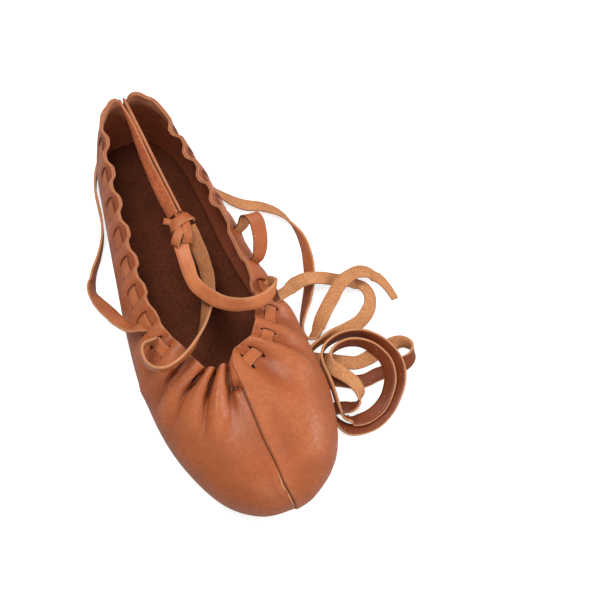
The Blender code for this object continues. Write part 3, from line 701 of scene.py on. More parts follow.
def grain_leather(name, dark, middle, light, edge):
    """Cognac leather that is lighter on its ridges, with painted shade in its folds, a dark seam line and a
    raw edge beside the seam.
    """
    material, tree, shader = new_material(name)
    grain = add_node(tree, "Group", node_tree=GRAIN)
    crest, seam, raw = (attribute(tree, key) for key in ("crest", "seam", "raw"))
    shade = mixed(tree, grain.outputs["Broad"], middle, darker(middle, 0.85))
    shade = mixed(tree, ranged(tree, crest, 0.0, 1.6, 0.0, 0.5), shade, light)
    # Painted shade: darker in the folds' valleys, and near black in their deep gaps and troughs.
    shade = mixed(tree, ranged(tree, crest, 0.0, -1.8, 0.0, 0.5), shade, dark)
    shade = mixed(tree, ranged(tree, crest, -2.0, -4.2, 0.0, 0.8), shade, darker(dark, 0.25))
    shade = mixed(tree, ranged(tree, grain.outputs["Fine"], 0.0, 1.0, 0.0, 0.30), shade, dark)
    shade = mixed(tree, ranged(tree, raw, 0.3, 0.8, 0.0, 0.9), shade, edge)
    shade = mixed(tree, ranged(tree, seam, 0.50, 0.22, 0.0, 0.92), shade, darker(dark, 0.42))
    rough = ranged(tree, grain.outputs["Fine"], 0.0, 1.0, 0.44, 0.56)
    normal = bumped(tree, grain.outputs["Height"], 0.26)
    set_inputs(tree, shader, {"Base Color": shade, "Roughness": rough, "Specular IOR Level": 0.26,
                              "Coat Weight": 0.15, "Coat Roughness": 0.32, "Normal": normal})
    return material


def raw_edge(name, colour):
    """Cut edge of leather in the colour given: fibrous, with a thin dark line where two layers meet."""
    material, tree, shader = new_material(name)
    fibre = noise(tree, 900.0, 5.0, 0.65)
    across = attribute(tree, "across")
    shade = mixed(tree, ranged(tree, fibre, 0.3, 0.7), darker(colour, 0.75), colour)
    shade = mixed(tree, ranged(tree, across, 0.22, 0.06, 0.0, 0.7), shade, darker(colour, 0.3))
    set_inputs(tree, shader, {"Base Color": shade, "Roughness": 0.8, "Normal": bumped(tree, fibre, 0.4, 0.3)})
    return material


def round_skin(values, margin=None):
    """Values of the wall's rows as the skin's rows run: up the outside, over the rim, down the inside."""
    last = values[:, -1:] if margin is None else np.full_like(values[:, -1:], margin)
    rim = np.repeat(values[:, :1], len(RIM_EDGE), 1)
    return np.concatenate([last, values[:, :0:-1], rim, values[:, 1:], last], axis=1).ravel()


def build_upper():
    """The wall as one closed skin: up the outside, over the rim's cut edge and down the inside.

    Its kinds of faces are 0 for the leather, 1 for the rim's cut edge, 2 for the lining, 3 for the slits'
    walls, whose dark colour is painted shade.
    """
    wall = GRID + NORMAL * PUSH[..., None]
    for k in np.flatnonzero(OPEN_AFTER):
        along = (DEPTH[k] - SLIT_TOP) / (SLIT_BOTTOM - SLIT_TOP)
        closed = SLIT_POINTED * (1 - np.sqrt(np.clip(4 * along * (1 - along), 0, 1)))
        closed = np.where(np.abs(along - 0.5) > 0.5, 0.0, closed)[:, None]
        middle = (wall[k] + wall[k + 1]) / 2
        wall[k:k + 2] += closed * (middle - wall[k:k + 2])
    up = unit(wall[:, 0] - wall[:, 1])
    outside = wall[:, 1:] + NORMAL[:, 1:] * WALL / 2
    inside = wall[:, 1:] - NORMAL[:, 1:] * WALL / 2
    edge = np.stack([wall[:, 0] + NORMAL[:, 0] * off + up * rise for off, rise in RIM_EDGE], axis=1)
    level = outward(base_curve, rim_place(AT))
    turned = wall[:, -1] - level * MARGIN
    turned[:, 2] = FEATHER_Z + toe_spring(turned[:, 1])
    thick = np.array([0.0, 0.0, WALL / 2])
    under, over = (turned - thick)[:, None], (turned + thick)[:, None]
    skin = np.concatenate([under, outside[:, ::-1], edge, inside, over], axis=1)
    columns, rows = skin.shape[:2]
    depth_rows = len(RIM_ROWS) + LOWER_ROWS
    first_edge, last_edge = 1 + depth_rows, depth_rows + len(RIM_EDGE)
    top, bottom = RIM_ROWS.index(SLIT_TOP), RIM_ROWS.index(SLIT_BOTTOM)
    out_rows = (depth_rows - bottom, depth_rows - top)
    in_rows = (last_edge + 1 + top, last_edge + 1 + bottom)
    faces, kinds = [], []
    for k in range(columns):
        here, after = k * rows, (k + 1) % columns * rows
        for row in range(rows):
            other = (row + 1) % rows
            hole = OPEN_AFTER[k] and (out_rows[0] <= row < out_rows[1] or in_rows[0] <= row < in_rows[1])
            if not hole:
                faces.append((here + row, after + row, after + other, here + other))
                kinds.append(0 if row < first_edge else 1 if row < last_edge else 2)
        if OPEN_AFTER[k]:
            for step in range(bottom - top):
                o, i = out_rows[1] - step, in_rows[0] + step
                faces.append((here + o, here + o - 1, here + i + 1, here + i))
                faces.append((after + o, after + i, after + i + 1, after + o - 1))
            o, i = out_rows[1], in_rows[0]
            faces.append((here + o, here + i, after + i, after + o))
            o, i = out_rows[0], in_rows[1]
            faces.append((here + o, after + o, after + i, here + i))
            kinds += [3] * (2 * (bottom - top) + 2)
    across = np.ones((columns, rows))
    across[:, first_edge:last_edge + 1] = np.abs([off for off, _ in RIM_EDGE])
    # Painted light with rubbed wear: the lining turns paler near the heel's rim and less so further down.
    deep, over, far, fade = LINING_LIT_BAND
    from_heel = np.minimum(AT, RIM_LENGTH - AT)[:, None]
    lit_rubbed = eased((deep - DEPTH) / over) * eased((far - from_heel) / fade)
    materials = [
        grain_leather("cognac_leather", LEATHER_DARK, LEATHER_MID, LEATHER_LIGHT, SEAM_EDGE),
        raw_edge("raw_edge", RAW_EDGE),
        suede("suede_lining", LINING_DARK, LINING_LIGHT, LINING_LIT_RUBBED),
        raw_edge("slit_edge_shade", SLIT_SHADE),
    ]
    values = {"crest": round_skin(PUSH, 0), "seam": round_skin(SEAM_OFF), "across": across.ravel(),
              "raw": round_skin(SEAM_RAWNESS), "lit_rubbed": round_skin(lit_rubbed)}
    return add_piece("upper_body", skin.reshape(-1, 3), faces, materials, kinds, values)


upper = build_upper()
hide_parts("upper")


# Collar lace: a flat leather thong, smooth on its grain side and napped on its flesh side, drawn in and
# out through the slits all round the collar. A slack stretch stands up as an arch on the medial side.
THONG_WIDTH = 8.5
THONG_THICK = 1.6
FLOOR_GAP = 0.2
# How the thong's width wavers: by what share and how long a wave is; and its widest.
THONG_WAVER = ((0.03, 6.1), (0.02, 2.3))
THONG_WIDEST = 1 + sum(share for share, _ in THONG_WAVER)
LACE_SINK = 0.9
LACE_WIDTH = 7.4
# In the throat the lace runs inside the wall: how deep, from how far before it, over what length.
LACE_HIDDEN = (-6.5, 1.0, 2.0)
# How far from the heel seam the lace starts and stops, and the depths whose relief it follows.
LACE_ENDS = (26.0, 34.0)
LACE_ROWS = (8.0, 10.0)
# Painted shade: the lace's cut edges are this dark, so each bar shows a dark outline where it meets the
# slits.
LACE_EDGE_SHADE = (0.17, 0.045, 0.016)
LACE_STEP = 0.7
# How far above the lace the wall is looked at, to tell which way is up along it.
LACE_ABOVE = 2.0
# The slack stretch stands on this fold, by its place from the heel seam along the medial side.
SLACK_FOLD_AT = 122.0
# The slack loop, as x, y, z off the collar and share of the way from slit to slit. Then by what share its
# width turns and to which direction, and how much wider it is there.
SLACK_LOOP = (
    (0.0, 0.0, 0.0, 0.0), (3.5, -2.4, 3.8, 0.15), (6.9, -0.3, 8.8, 0.3), (8.6, 2.7, 13.3, 0.44),
    (9.1, 5.3, 15.9, 0.56), (7.8, 7.4, 15.4, 0.66), (5.8, 7.2, 10.9, 0.76), (3.5, 3.0, 4.9, 0.88),
    (0.0, 0.0, 0.0, 1.0),
)
SLACK_TURN = (0.96, (-0.95, 0.10, -0.15))
SLACK_WIDER = 1.3
SLACK_POINTS = 70
SLACK_STEP = 0.5
# The thong's cut across: place across its half width, place across its half thickness.
THONG_CUT = ((-0.94, 0.95), (-0.4, 1.0), (0.4, 1.0), (0.94, 0.95), (1.0, 0.55), (1.0, -0.55), (0.94, -0.95),
             (0.4, -1.0), (-0.4, -1.0), (-0.94, -0.95), (-1.0, -0.55), (-1.0, 0.55))
# Kind of each of its sides: 0 grain, 1 flesh, 2 cut edge.
THONG_SIDES = (0, 0, 0, 2, 2, 2, 1, 1, 1, 2, 2, 2)
THONG_GRAIN = (0.48, 0.142, 0.048)
THONG_GRAIN_DARK = (0.31, 0.074, 0.021)
THONG_FLESH = (0.61, 0.285, 0.127)
THONG_FLESH_DARK = (0.40, 0.155, 0.058)
THONG_EDGE = (0.58, 0.25, 0.105)
THONG_SPECK = (0.72, 0.42, 0.24)


def thong_grain(name, dark, light, speck):
    """Smooth side of the thong, with light specks where its grain is scuffed."""
    material, tree, shader = new_material(name)
    grain = add_node(tree, "Group", node_tree=GRAIN)
    shade = mixed(tree, ranged(tree, grain.outputs["Broad"], 0.0, 1.0, 0.0, 0.5), light, dark)
    shade = mixed(tree, ranged(tree, grain.outputs["Fine"], 0.0, 1.0, 0.0, 0.2), shade, dark)
    shade = mixed(tree, ranged(tree, noise(tree, 700.0, 2.0, 0.5), 0.68, 0.76, 0.0, 0.7), shade, speck)
    normal = bumped(tree, grain.outputs["Height"], 0.2)
    set_inputs(tree, shader, {"Base Color": shade, "Roughness": 0.5, "Specular IOR Level": 0.26,
                              "Coat Weight": 0.06, "Coat Roughness": 0.35, "Normal": normal})
    return material


THONG_FINISH = [thong_grain("thong_grain", THONG_GRAIN_DARK, THONG_GRAIN, THONG_SPECK),
                suede("thong_flesh", THONG_FLESH_DARK, THONG_FLESH), raw_edge("thong_edge", THONG_EDGE)]


def square_to(way, faces):
    """Directions made square to the way a thong runs."""
    return unit(faces - way * np.sum(faces * way, axis=1, keepdims=True))


def thong_skin(points, faces, width):
    """Rings of a thong through close points, its grain side turned to the direction given at each."""
    way = unit(np.gradient(points, axis=0))
    faces = square_to(way, faces)
    wide = np.cross(way, faces)
    along = lengths_along(points)
    half = (width / 2 * (1 + sum(share * np.sin(along / wave) for share, wave in THONG_WAVER)))[:, None]
    return np.stack([points + wide * half * a + faces * THONG_THICK / 2 * b for a, b in THONG_CUT], axis=1)


def add_thong(name, runs, finish):
    """One piece of one or more thongs, each given as points, grain-side directions and width."""
    skins, quads, kinds, first = [], [], [], 0
    for run in runs:
        skin = thong_skin(*run)
        skin[..., 2] = np.maximum(skin[..., 2], FLOOR_GAP)
        count, cut = skin.shape[:2]
        for k in range(count - 1):
            low, high = first + k * cut, first + (k + 1) * cut
            for i in range(cut):
                j = (i + 1) % cut
                quads.append((low + i, low + j, high + j, high + i))
                kinds.append(THONG_SIDES[i])
        ring = np.arange(cut)
        quads += [tuple(first + ring[::-1]), tuple(first + (count - 1) * cut + ring)]
        kinds += [2, 2]
        skins.append(skin.reshape(-1, 3))
        first += count * cut
    piece = add_piece(name, np.vstack(skins), quads, finish, kinds, {"across": np.ones(first)})
    return piece


def build_lace():
    reach = WALL / 2 + THONG_THICK / 2 - LACE_SINK
    slack = int(np.argmin(np.abs(FOLDS[:, 0] - RIM_LENGTH + SLACK_FOLD_AT)))
    at = np.arange(LACE_ENDS[0], RIM_LENGTH - LACE_ENDS[1], LACE_STEP)
    first, last = SLITS[slack - 1:slack + 1]
    at = np.concatenate([at[at < first], np.linspace(first, last, SLACK_POINTS), at[at > last]])
    points, normal = plain_wall(at, np.full(len(at), LACE_DEPTH))
    above = wall_points(at, np.full(len(at), LACE_DEPTH - LACE_ABOVE))
    height, rise, _ = fold_at(at)
    beside = [1 + RIM_ROWS.index(depth) for depth in LACE_ROWS]
    off = np.interp(at, AT, PUSH[:, beside].mean(axis=1)) - np.sign(height) * reach * rise
    deep, before, over = LACE_HIDDEN
    hidden = eased((at - THROAT[0] + before) / over) * eased((TOE_AT + before - at) / over)
    off = off * (1 - hidden) + deep * hidden
    share = np.clip((at - first) / (last - first), 0, 1)
    bow = np.sin(np.pi * share)[:, None]
    loop = smooth_route(SLACK_LOOP, SLACK_STEP)
    places = points + normal * off[:, None]
    places = places + np.column_stack([np.interp(share, loop[:, 3], loop[:, k]) for k in range(3)])
    turn, side = SLACK_TURN
    up = unit(unit(above - points) * (1 - turn * bow) + np.array(side) * turn * bow)
    way = unit(np.gradient(places, axis=0))
    faces = np.cross(up, way)
    faces *= np.sign(np.sum(faces * normal))
    finish = [*THONG_FINISH[:2], raw_edge("lace_edge_shade", LACE_EDGE_SHADE)]
    return add_thong("lace_thong", [(places, faces, LACE_WIDTH + SLACK_WIDER * bow[:, 0])], finish)


lace = build_lace()
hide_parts("collar_lace")


# Heel straps: two runs of the same thong that leave the heel through its notch, standing on edge, and come
# forward over the opening to the knot. They are free thongs, fixed only at their ends.
# The straps' places outside the heel: along the rim from the heel seam, depth below it, height off the wall.
STRAP_HEEL = ((12.5, 13.5, 2.4), (8.0, 13.5, 2.5), (3.0, 11.5, 2.3))
# Which side each strap comes from, and its places: x, y from the middle of the last, z, roll.
STRAP_ROUTES = {
    "heel_strap_lateral": (1, ((-1.5, 132.8, 63.4, 90), (-1.5, 126.0, 63.4, 90), (-1.6, 112.0, 60.0, 72),
                               (-1.3, 92.0, 54.5, 56), (-0.2, 72.0, 50.0, 48), (1.2, 51.6, 47.6, 46))),
    "heel_strap_medial": (-1, ((1.5, 132.8, 63.4, -90), (1.5, 126.0, 63.4, -90), (2.9, 112.0, 60.0, -80),
                               (4.8, 92.0, 54.5, -72), (6.6, 72.0, 50.0, -68), (8.2, 51.8, 47.6, -66))),
}
THONG_STEP = 1.2
# The straps leave the notch folded narrow: width there, where they start to open and over what length.
STRAP_NARROW = (4.8, 22.0, 60.0)
# How the straps lie together between the notch and the knot, lateral and medial: shift in x, added roll.
STRAP_LAY = {"heel_strap_lateral": (0.6, 0.0), "heel_strap_medial": (-1.4, -16.0)}
# How far the two places at the notch lie from those of the solid straps, in y and z.
STRAP_DIP = ((-2.0, -6.6), (0.0, -4.6))
STRAP_EDGE = (0.50, 0.170, 0.070)
STRAP_NAP = (0.58, 0.167, 0.065)
STRAP_NAP_DARK = (0.30, 0.070, 0.026)


def thong_faces(route):
    """Grain-side directions of a route, whose last column is the roll about the way it runs."""
    way = unit(np.gradient(route[:, :3], axis=0))
    side = unit(np.cross(way, (0.0, 0.0, 1.0)))
    top = np.cross(side, way)
    roll = np.radians(route[:, 3:4])
    return top * np.cos(roll) + side * np.sin(roll)


def from_last(route):
    """A route that is measured from the middle of the last, as places in the shoe's frame."""
    return np.array(route, float) + np.array([*LAST_CENTRE, 0.0, 0.0])


def build_cord(node, points, faces, width, finish):
    """A free thong through a route's points, in place of the solid's part, which is hidden."""
    rows = smooth_route(np.column_stack([points, faces, width]), THONG_STEP)
    points, faces, width = rows[:, :3], rows[:, 3:6], rows[:, 6]
    way = unit(np.gradient(points, axis=0))
    faces = square_to(way, faces)
    upright = np.abs(np.cross(way, faces)[:, 2]) * width / 2 * THONG_WIDEST
    points[:, 2] = np.maximum(points[:, 2], upright + np.abs(faces[:, 2]) * THONG_THICK / 2 + GAP)
    piece = add_thong(node + "_thong", [(points, faces, width)], finish)
    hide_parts(node)


def on_wall(at, depth, off):
    """A point outside the wall and the wall's outward direction there."""
    points, normal = plain_wall(at, depth)
    return points[0] + normal[0] * off, normal[0]


def build_straps():
    """Both straps; the lateral one shows its napped side."""
    edge = raw_edge("strap_edge", STRAP_EDGE)
    nap = suede("strap_nap", STRAP_NAP_DARK, STRAP_NAP)
    finishes = {"heel_strap_lateral": [nap, THONG_FINISH[1], edge],
                "heel_strap_medial": [*THONG_FINISH[:2], edge]}
    for node, (side, inside) in STRAP_ROUTES.items():
        lead = [on_wall(side * at, depth, off) for at, depth, off in STRAP_HEEL]
        inside = from_last(inside)
        inside[2:, [0, 3]] += STRAP_LAY[node]
        inside[:2, 1:3] += STRAP_DIP
        points = np.vstack([[p for p, n in lead], inside[:, :3]])
        faces = np.vstack([[-n for p, n in lead], thong_faces(inside)])
        narrow, start, over = STRAP_NARROW
        width = narrow + (THONG_WIDTH - narrow) * eased((lengths_along(points) - start) / over)
        build_cord(node, points, faces, width, finishes[node])


build_straps()


# Knot: an overhand knot of the thong that ties the two straps and the two loops together, with a short
# cut stub. It hangs over the opening and is fixed only by the thongs.
KNOT_AT = (5.0, 43.0, 47.0)
KNOT_HALF = (7.5, 9.0, 5.5)
KNOT_STEP = 0.8
# Runs of the thong in the knot, as width and places from its middle: core, over the top, the lateral lobe,
# middle and stub. They are pressed narrower than the free thong.
KNOT_RUNS = (
    (6.2, ((0.5, 9.5, 0.5), (1.0, 3.0, 2.2), (0.0, -5.0, 2.0), (-2.0, -11.0, 0.0))),
    (6.4, ((6.3, 4.5, -2.5), (5.4, 4.4, 2.0), (1.1, 3.1, 5.0), (-3.8, 1.7, 5.0), (-7.4, 0.9, 2.0),
           (-7.4, 1.4, -2.5))),
    (5.4, ((-0.6, -1.2, 3.2), (-4.4, -4.2, 4.4), (-7.6, -7.6, 3.4), (-9.4, -9.6, 0.5), (-8.6, -9.4, -3.0))),
    (4.6, ((1.6, 1.0, 3.6), (0.6, -3.6, 4.2), (-0.6, -8.2, 3.0), (-1.4, -11.0, -0.5))),
    (3.6, ((-4.0, 2.6, 2.4), (-7.6, 4.6, 2.8), (-10.2, 6.6, 2.4))),
)


def build_knot():
    """The knot's runs of thong, each with its grain side turned away from the knot's middle."""
    middle = from_last([(*KNOT_AT, 0.0)])[0, :3]
    runs = []
    for width, route in KNOT_RUNS:
        points = smooth_route(route, KNOT_STEP)
        faces = unit(points / np.array(KNOT_HALF) ** 2)
        runs.append((points + middle, faces, width))
    return add_thong("knot_wrap", runs, THONG_FINISH)


knot = build_knot()
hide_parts("knot")


# Loops and ties: four free runs of the thong. Two loops go from the knot over the collar into its front
# slits, and two long ties come out of the slits and lie on the floor in loose turns.
# Routes as x, y from the middle of the last, z, roll; they are the solids' routes.
LOOP_ROUTES = {
    "loop_medial": ((3.6, 33.9, 46, 8), (2, 19, 45, 14), (-1, 5, 47, 24), (2, -8, 51, 38),
                    (10, -18, 55, 48), (20, -23.4, 58.5, 52), (28.5, -23.6, 58.8, 60),
                    (35.2, -20.6, 57.6, 74), (39, -16, 55.4, 86), (40, -11.6, 52.6, 92)),
    "loop_lateral": ((7.0, 36.4, 43.0, -170), (9, 23, 38, -166), (7, 9, 36.5, -158), (0, -7, 41, -140),
                     (-11, -22, 51, -112), (-21, -33.5, 60, -92), (-31, -40.6, 65, -82),
                     (-40.5, -42.2, 65, -74), (-47, -37.4, 62.5, -68), (-49.2, -30, 58.6, -68),
                     (-46.6, -24, 54.6, -76)),
}
TIE_LATERAL = (
    (-48.6, -5.8, 43, 78), (-51.6, 4, 36.5, 40), (-53.4, 13.5, 29.5, 14), (-55, 23, 22, 14),
    (-56, 33, 14.5, 32), (-55.4, 43, 7.5, 58), (-51.5, 53.5, 0, 78), (-45, 64, 0, 86), (-39, 75, 0, 90),
    (-34.6, 87, 0, 90), (-31.8, 98, 0, 90), (-28.6, 109, 0, 90), (-22.8, 121.2, 0, 90),
    (-13.4, 131, 0, 90), (-1, 134.6, 0, 90), (11.5, 131.8, 0, 90), (21.6, 123, 0, 90),
    (28.4, 111, 0, 90), (33, 98, 0, 94), (38.6, 84, 0, 112), (46, 72, 0, 146), (54, 64.6, 0, 164),
    (63, 59.4, 0, 158), (71, 51, 0, 136), (76, 39, 0, 102), (77.5, 26, 0, 68), (75, 12, 0, 50),
    (70, -1, 0, 46), (63.5, -12, 0, 54), (57.2, -21, 0, 72), (53.6, -28, 0, 88), (53.2, -33.6, 0, 100),
    (56.6, -36.6, 0, 120), (60.6, -33.4, 0, 146), (64.6, -29, 4, 166), (69, -25, 7.5, 176),
    (74, -21, 10, 180), (78.6, -17.6, 12, 182), (83, -14, 13, 182), (88.9, -10.7, 13, 180),
    (94.7, -8.6, 11.5, 174), (100.5, -7.8, 9, 164), (106.1, -8.8, 5.5, 150), (110.3, -11.8, 0, 138),
    (112.8, -16.5, 0, 126), (114.4, -23, 0, 116), (115.2, -29.8, 0, 112),
)
# The medial tie: down from the collar, a loose loop, a long narrow bend, two turns round, a short loop.
TIE_MEDIAL = (
    (47.4, -16, 40, -150), (53, -10.5, 30, -158), (60, -4.5, 19, -168), (68, -1.8, 12.8, -176),
    (76, -3.2, 10.4, -182), (84.5, -6, 7, -190), (93, -9.6, 4.4, -198), (99.5, -14.5, 0, -205),
    (101.3, -21.5, 0, -208), (98.6, -28.5, 0, -208), (92.7, -34, 0, -206), (86, -37, 0, -206),
    (77.5, -38.2, 0, -216), (68, -38.6, 0, -246), (59.5, -40.2, 0, -266), (53.5, -42.8, 0, -265),
    (52.4, -46.5, 0, -235), (55, -49, 0, -186), (60.5, -51.6, 0, -180), (69, -56.5, 0, -180),
    (76, -59.8, 0, -180), (84, -59.6, 0, -178), (92, -58.2, 0, -178), (100, -57, 0, -166),
    (107, -59, 0, -120), (110.5, -64.5, 0, -90), (107.5, -70, 0, -58), (100, -72, 0, -14),
    (92, -71.8, 0, -2), (84, -71.6, 0, 0), (76, -72.4, 0, 0), (69, -70.6, 0, 0), (62.5, -67, 0, 0),
    (57.4, -64.6, 0, 0), (53.6, -66.2, 0, -34), (50.4, -70.4, 0, -72), (48.9, -76, 0, -88),
    (48.7, -84, 0, -80), (49.5, -92, 0, -50), (54.5, -98.4, 0, -20), (64, -100.2, 0, -8),
    (74.5, -98.2, 0, -10), (84, -93, 4, -22), (91.6, -86, 6, -36), (96.4, -77.4, 7.2, -44),
    (97.4, -68, 7.6, -50), (95.2, -58.8, 7.8, -60), (90.6, -50.8, 7.8, -70), (84, -45.2, 7.6, -78),
    (76, -42.6, 7.6, -82), (67.8, -42.8, 7.6, -84), (60.4, -45.6, 8, -88), (55.6, -51.6, 9, -90),
    (54, -59, 11, -90), (53.6, -67, 13, -90), (53.4, -75, 11.5, -90), (53.2, -83, 7, -84),
    (55, -90.4, 0, -52), (61, -95, 3.6, -18), (69, -95, 3.6, -10), (77.6, -91.8, 4, -16),
    (85, -85.4, 5.5, -32), (90, -77.2, 6.4, -42), (91.4, -68, 6.8, -50), (89, -59.2, 7.2, -62),
    (83.4, -52, 7.4, -74), (76, -48.2, 7.6, -82), (68.6, -48, 7.8, -86), (62.8, -50.2, 8, -94),
    (59.4, -54, 8.2, -112), (59, -58.6, 8.4, -140), (61.2, -62.8, 8.4, -165), (64, -66.6, 8.2, -178),
    (66.6, -70.8, 7.8, -186), (68.4, -75.6, 7.4, -202), (68.6, -80.4, 6.4, -228), (66, -84.6, 4, -290),
    (61.4, -85.8, 2.4, -330), (57.4, -84, 1.6, -350),
)
# Where each cord meets the collar: at its first or last point, place along the rim, depth below it, height
# above the wall's middle, and the place of the slit that it goes in through.
CORD_SEATS = {
    "loop_medial": (-1, -147.6, 10.5, 3.2, -147.0), "loop_lateral": (-1, 160.5, 9.0, 3.2, 160.75),
    "tie_lateral": (0, 150.5, 9.5, 5.4, 151.85), "tie_medial": (0, -160.0, 11.0, 4.3, -155.5),
}
SLIT_INSIDE = -5.0
# Widths of a cord's points from inside its slit outwards, where it is pinched.
SEAT_WIDTHS = (4.4, 5.4, 7.2)
# What differs from the solids' routes: first place, column (0 x, 1 y, 2 z, 3 roll), and what is added from
# there on. The medial loop leaves the knot further to the lateral side. The lateral loop leaves it higher,
# reaches further to the toe and lies more on edge. The lateral tie is turned flatter at both ends and lies
# closer to the sole beside the heel.
ROUTE_ADDED = {
    "loop_medial": ((0, 0, (-4.1, -4.1, -2.0)), (0, 1, (1.6, 1.6, 0.8))),
    "loop_lateral": ((1, 0, (0.9,)), (1, 1, (0.6,)), (1, 2, (3.0,)),
                     (5, 0, (1.0, 0.4, -0.8, -1.4, -1.2, -0.5)), (5, 1, (-2.0, -3.0, -3.2, -3.5, -3.0, -1.2)),
                     (7, 3, (-14.0, -24.0, -28.0, -16.0))),
    "tie_lateral": ((0, 3, (-48.0, -26.0)), (6, 0, (1.0, 2.2, 2.4, 1.8, 0.9)),
                    (-6, 3, (10.0, 22.0, 34.0, 46.0, 54.0, 58.0))),
    "tie_medial": (),
}
# The lateral loop starts one place sooner, at the knot, and the medial tie runs on by one.
LOOP_START = (7.6, 41.5, 47.5, -170)
TIE_RUNS_ON = (51.4, -82.4, 1.4, -352)
# The lateral tie's end tapers: width at its tip, and how many of its last places that takes.
TIE_POINT = (4.4, 6)
# Painted shade: the medial tie's grain is a darker copy of the thong's grain, for the shade on its turns.
TIE_SHADED_GRAIN = (0.20, 0.043, 0.012)
TIE_SHADED_GRAIN_DARK = (0.13, 0.027, 0.007)
# Painted light: the medial loop's grain is a lighter copy of the thong's grain, for the light on it near the
# knot.
LOOP_LIT_GRAIN = (0.58, 0.185, 0.068)
LOOP_LIT_GRAIN_DARK = (0.39, 0.102, 0.032)
# Painted shade: the lateral loop's flesh is a darker copy of the thong's flesh, for the shade inside the
# shoe.
LOOP_SHADED_FLESH = (0.45, 0.185, 0.077)
LOOP_SHADED_FLESH_DARK = (0.27, 0.096, 0.035)


def seated(node, points, faces):
    """A cord's points and faces with the places added where it meets the collar and goes in."""
    end, at, depth, off, slit = CORD_SEATS[node]
    seat, normal = on_wall(at, depth, off)
    inside, _ = on_wall(slit, depth, SLIT_INSIDE)
    turn = faces[end] + normal
    if end == 0:
        return np.vstack([inside, seat, points]), np.vstack([turn, turn, faces])
    return np.vstack([points, seat, inside]), np.vstack([faces, turn, turn])


# The medial loop goes into its slit one place sooner than the solid.
CORD_ROUTES = {
    "loop_medial": LOOP_ROUTES["loop_medial"][:-1],
    "loop_lateral": (LOOP_START, *LOOP_ROUTES["loop_lateral"]),
    "tie_lateral": TIE_LATERAL,
    "tie_medial": (*TIE_MEDIAL, TIE_RUNS_ON),
}


def build_loops_and_ties():
    """The four free thongs, pinched at their slits; the lateral tie's end tapers."""
    grain, flesh, edge = THONG_FINISH
    # The loops and the medial tie take lighter and darker copies of the one thong's colours: painted light
    # and shade.
    finishes = {
        "loop_medial": [thong_grain("loop_lit_grain", LOOP_LIT_GRAIN_DARK, LOOP_LIT_GRAIN, THONG_SPECK), flesh, edge],
        "loop_lateral": [grain, suede("loop_shaded_flesh", LOOP_SHADED_FLESH_DARK, LOOP_SHADED_FLESH), edge],
        "tie_lateral": THONG_FINISH,
        "tie_medial": [thong_grain("tie_shaded_grain", TIE_SHADED_GRAIN_DARK, TIE_SHADED_GRAIN, THONG_SPECK), flesh, edge],
    }
    for node, places in CORD_ROUTES.items():
        route = from_last(places)
        for first, column, added in ROUTE_ADDED[node]:
            route[first + np.arange(len(added)), column] += added
        points, faces = seated(node, route[:, :3], thong_faces(route))
        width = np.full(len(points), THONG_WIDTH)
        exit_first = CORD_SEATS[node][0] == 0
        if exit_first:
            width[:len(SEAT_WIDTHS)] = SEAT_WIDTHS
        else:
            width[-len(SEAT_WIDTHS):] = SEAT_WIDTHS[::-1]
        if node == "tie_lateral":
            width[-TIE_POINT[1]:] = np.linspace(THONG_WIDTH, *TIE_POINT)
        build_cord(node, points, faces, width, finishes[node])


build_loops_and_ties()


# Floor and light: a plain white studio floor that shines to the camera alone, a large soft light above the
# shoe, and weaker ones at both sides, in front and behind.
FLOOR_HALF = 2.0
FLOOR_WHITE = (0.55, 0.55, 0.55)
FLOOR_GLOW = 0.75
# How bright the white around is to the shoe, and to the camera.
SKY_STRENGTH = (0.14, 1.0)
# Each light's name, place in metres, size and power.
LIGHTS = (
    ("key_light", (-0.25, 0.3, 1.45), 0.8, 19.0), ("right_light", (1.3, -0.5, 0.75), 0.7, 14.0),
    ("left_light", (-1.3, -0.4, 0.75), 1.0, 1.6), ("front_light", (-0.1, -1.4, 0.7), 1.0, 7.4),
    ("back_light", (0.1, 1.5, 0.7), 1.0, 3.0),
)


def build_floor():
    corners = [(x * FLOOR_HALF, y * FLOOR_HALF, 0.0) for x, y in ((-1, -1), (1, -1), (1, 1), (-1, 1))]
    mesh = bpy.data.meshes.new("floor")
    mesh.from_pydata(corners, [], [(0, 1, 2, 3)])
    material, tree, shader = new_material("floor_white")
    seen = add_node(tree, "LightPath").outputs["Is Camera Ray"]
    glow = mixed(tree, seen, (0.0, 0.0, 0.0), (FLOOR_GLOW,) * 3)
    set_inputs(tree, shader, {"Base Color": (*FLOOR_WHITE, 1.0), "Roughness": 0.9, "Emission Color": glow,
                              "Emission Strength": 1.0})
    mesh.materials.append(material)
    add_object("floor", mesh)


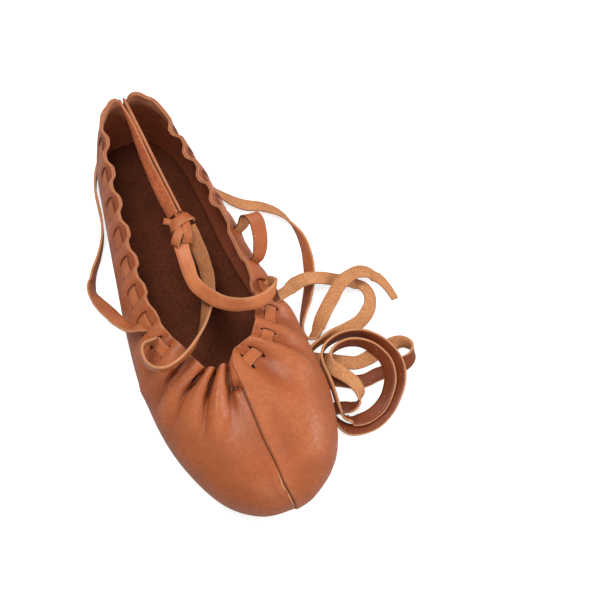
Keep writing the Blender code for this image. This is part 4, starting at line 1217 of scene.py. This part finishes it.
def build_lights():
    for name, place, size, power in LIGHTS:
        lamp = bpy.data.lights.new(name, "AREA")
        lamp.size = size
        lamp.energy = power
        item = add_object(name, lamp)
        item.location = place
        item.rotation_euler = (-Vector(place)).to_track_quat("-Z", "Y").to_euler()
    world = bpy.data.worlds.new("studio")
    world.use_nodes = True
    tree = world.node_tree
    seen = add_node(tree, "LightPath").outputs["Is Camera Ray"]
    strength = ranged(tree, seen, 0.0, 1.0, *SKY_STRENGTH)
    set_inputs(tree, tree.nodes["Background"], {"Color": (1.0, 1.0, 1.0, 1.0), "Strength": strength})
    bpy.context.scene.world = world
    bpy.context.scene.view_settings.view_transform = "Standard"


build_floor()
build_lights()


# Camera: high in front of the shoe and a little to its lateral side, turned so that the shoe stands at the
# left of the picture. Its turn and rise about the target are in degrees, its focal length and the target's
# place in the picture are in pixels.
CAMERA_TARGET = (*LAST_CENTRE, 30.0)
CAMERA_TURN = (-22.0, 65.0)
CAMERA_FAR = 1100.0
CAMERA_FOCUS = 1848.0
PICTURE = 600.0
TARGET_PIXEL = (203.0, 302.0)


def build_camera():
    turn, rise = np.radians(CAMERA_TURN)
    back = np.array([np.sin(turn) * np.cos(rise), -np.cos(turn) * np.cos(rise), np.sin(rise)])
    right = np.array([np.cos(turn), np.sin(turn), 0.0])
    up = np.cross(back, right)
    place = np.array(CAMERA_TARGET) + back * CAMERA_FAR
    yaw = np.arctan((PICTURE / 2 - TARGET_PIXEL[0]) / CAMERA_FOCUS)
    right, back = right * np.cos(yaw) + back * np.sin(yaw), back * np.cos(yaw) - right * np.sin(yaw)
    pitch = np.arctan((TARGET_PIXEL[1] - PICTURE / 2) / CAMERA_FOCUS)
    up, back = up * np.cos(pitch) + back * np.sin(pitch), back * np.cos(pitch) - up * np.sin(pitch)
    lens = bpy.data.cameras.new("camera")
    lens.sensor_width = 36.0
    lens.lens = lens.sensor_width * CAMERA_FOCUS / PICTURE
    camera = add_object("camera", lens)
    turned = np.eye(4)
    turned[:3] = np.column_stack([right, up, back, place * MM])
    camera.matrix_world = Matrix(turned.tolist())
    bpy.context.scene.camera = camera


build_camera()
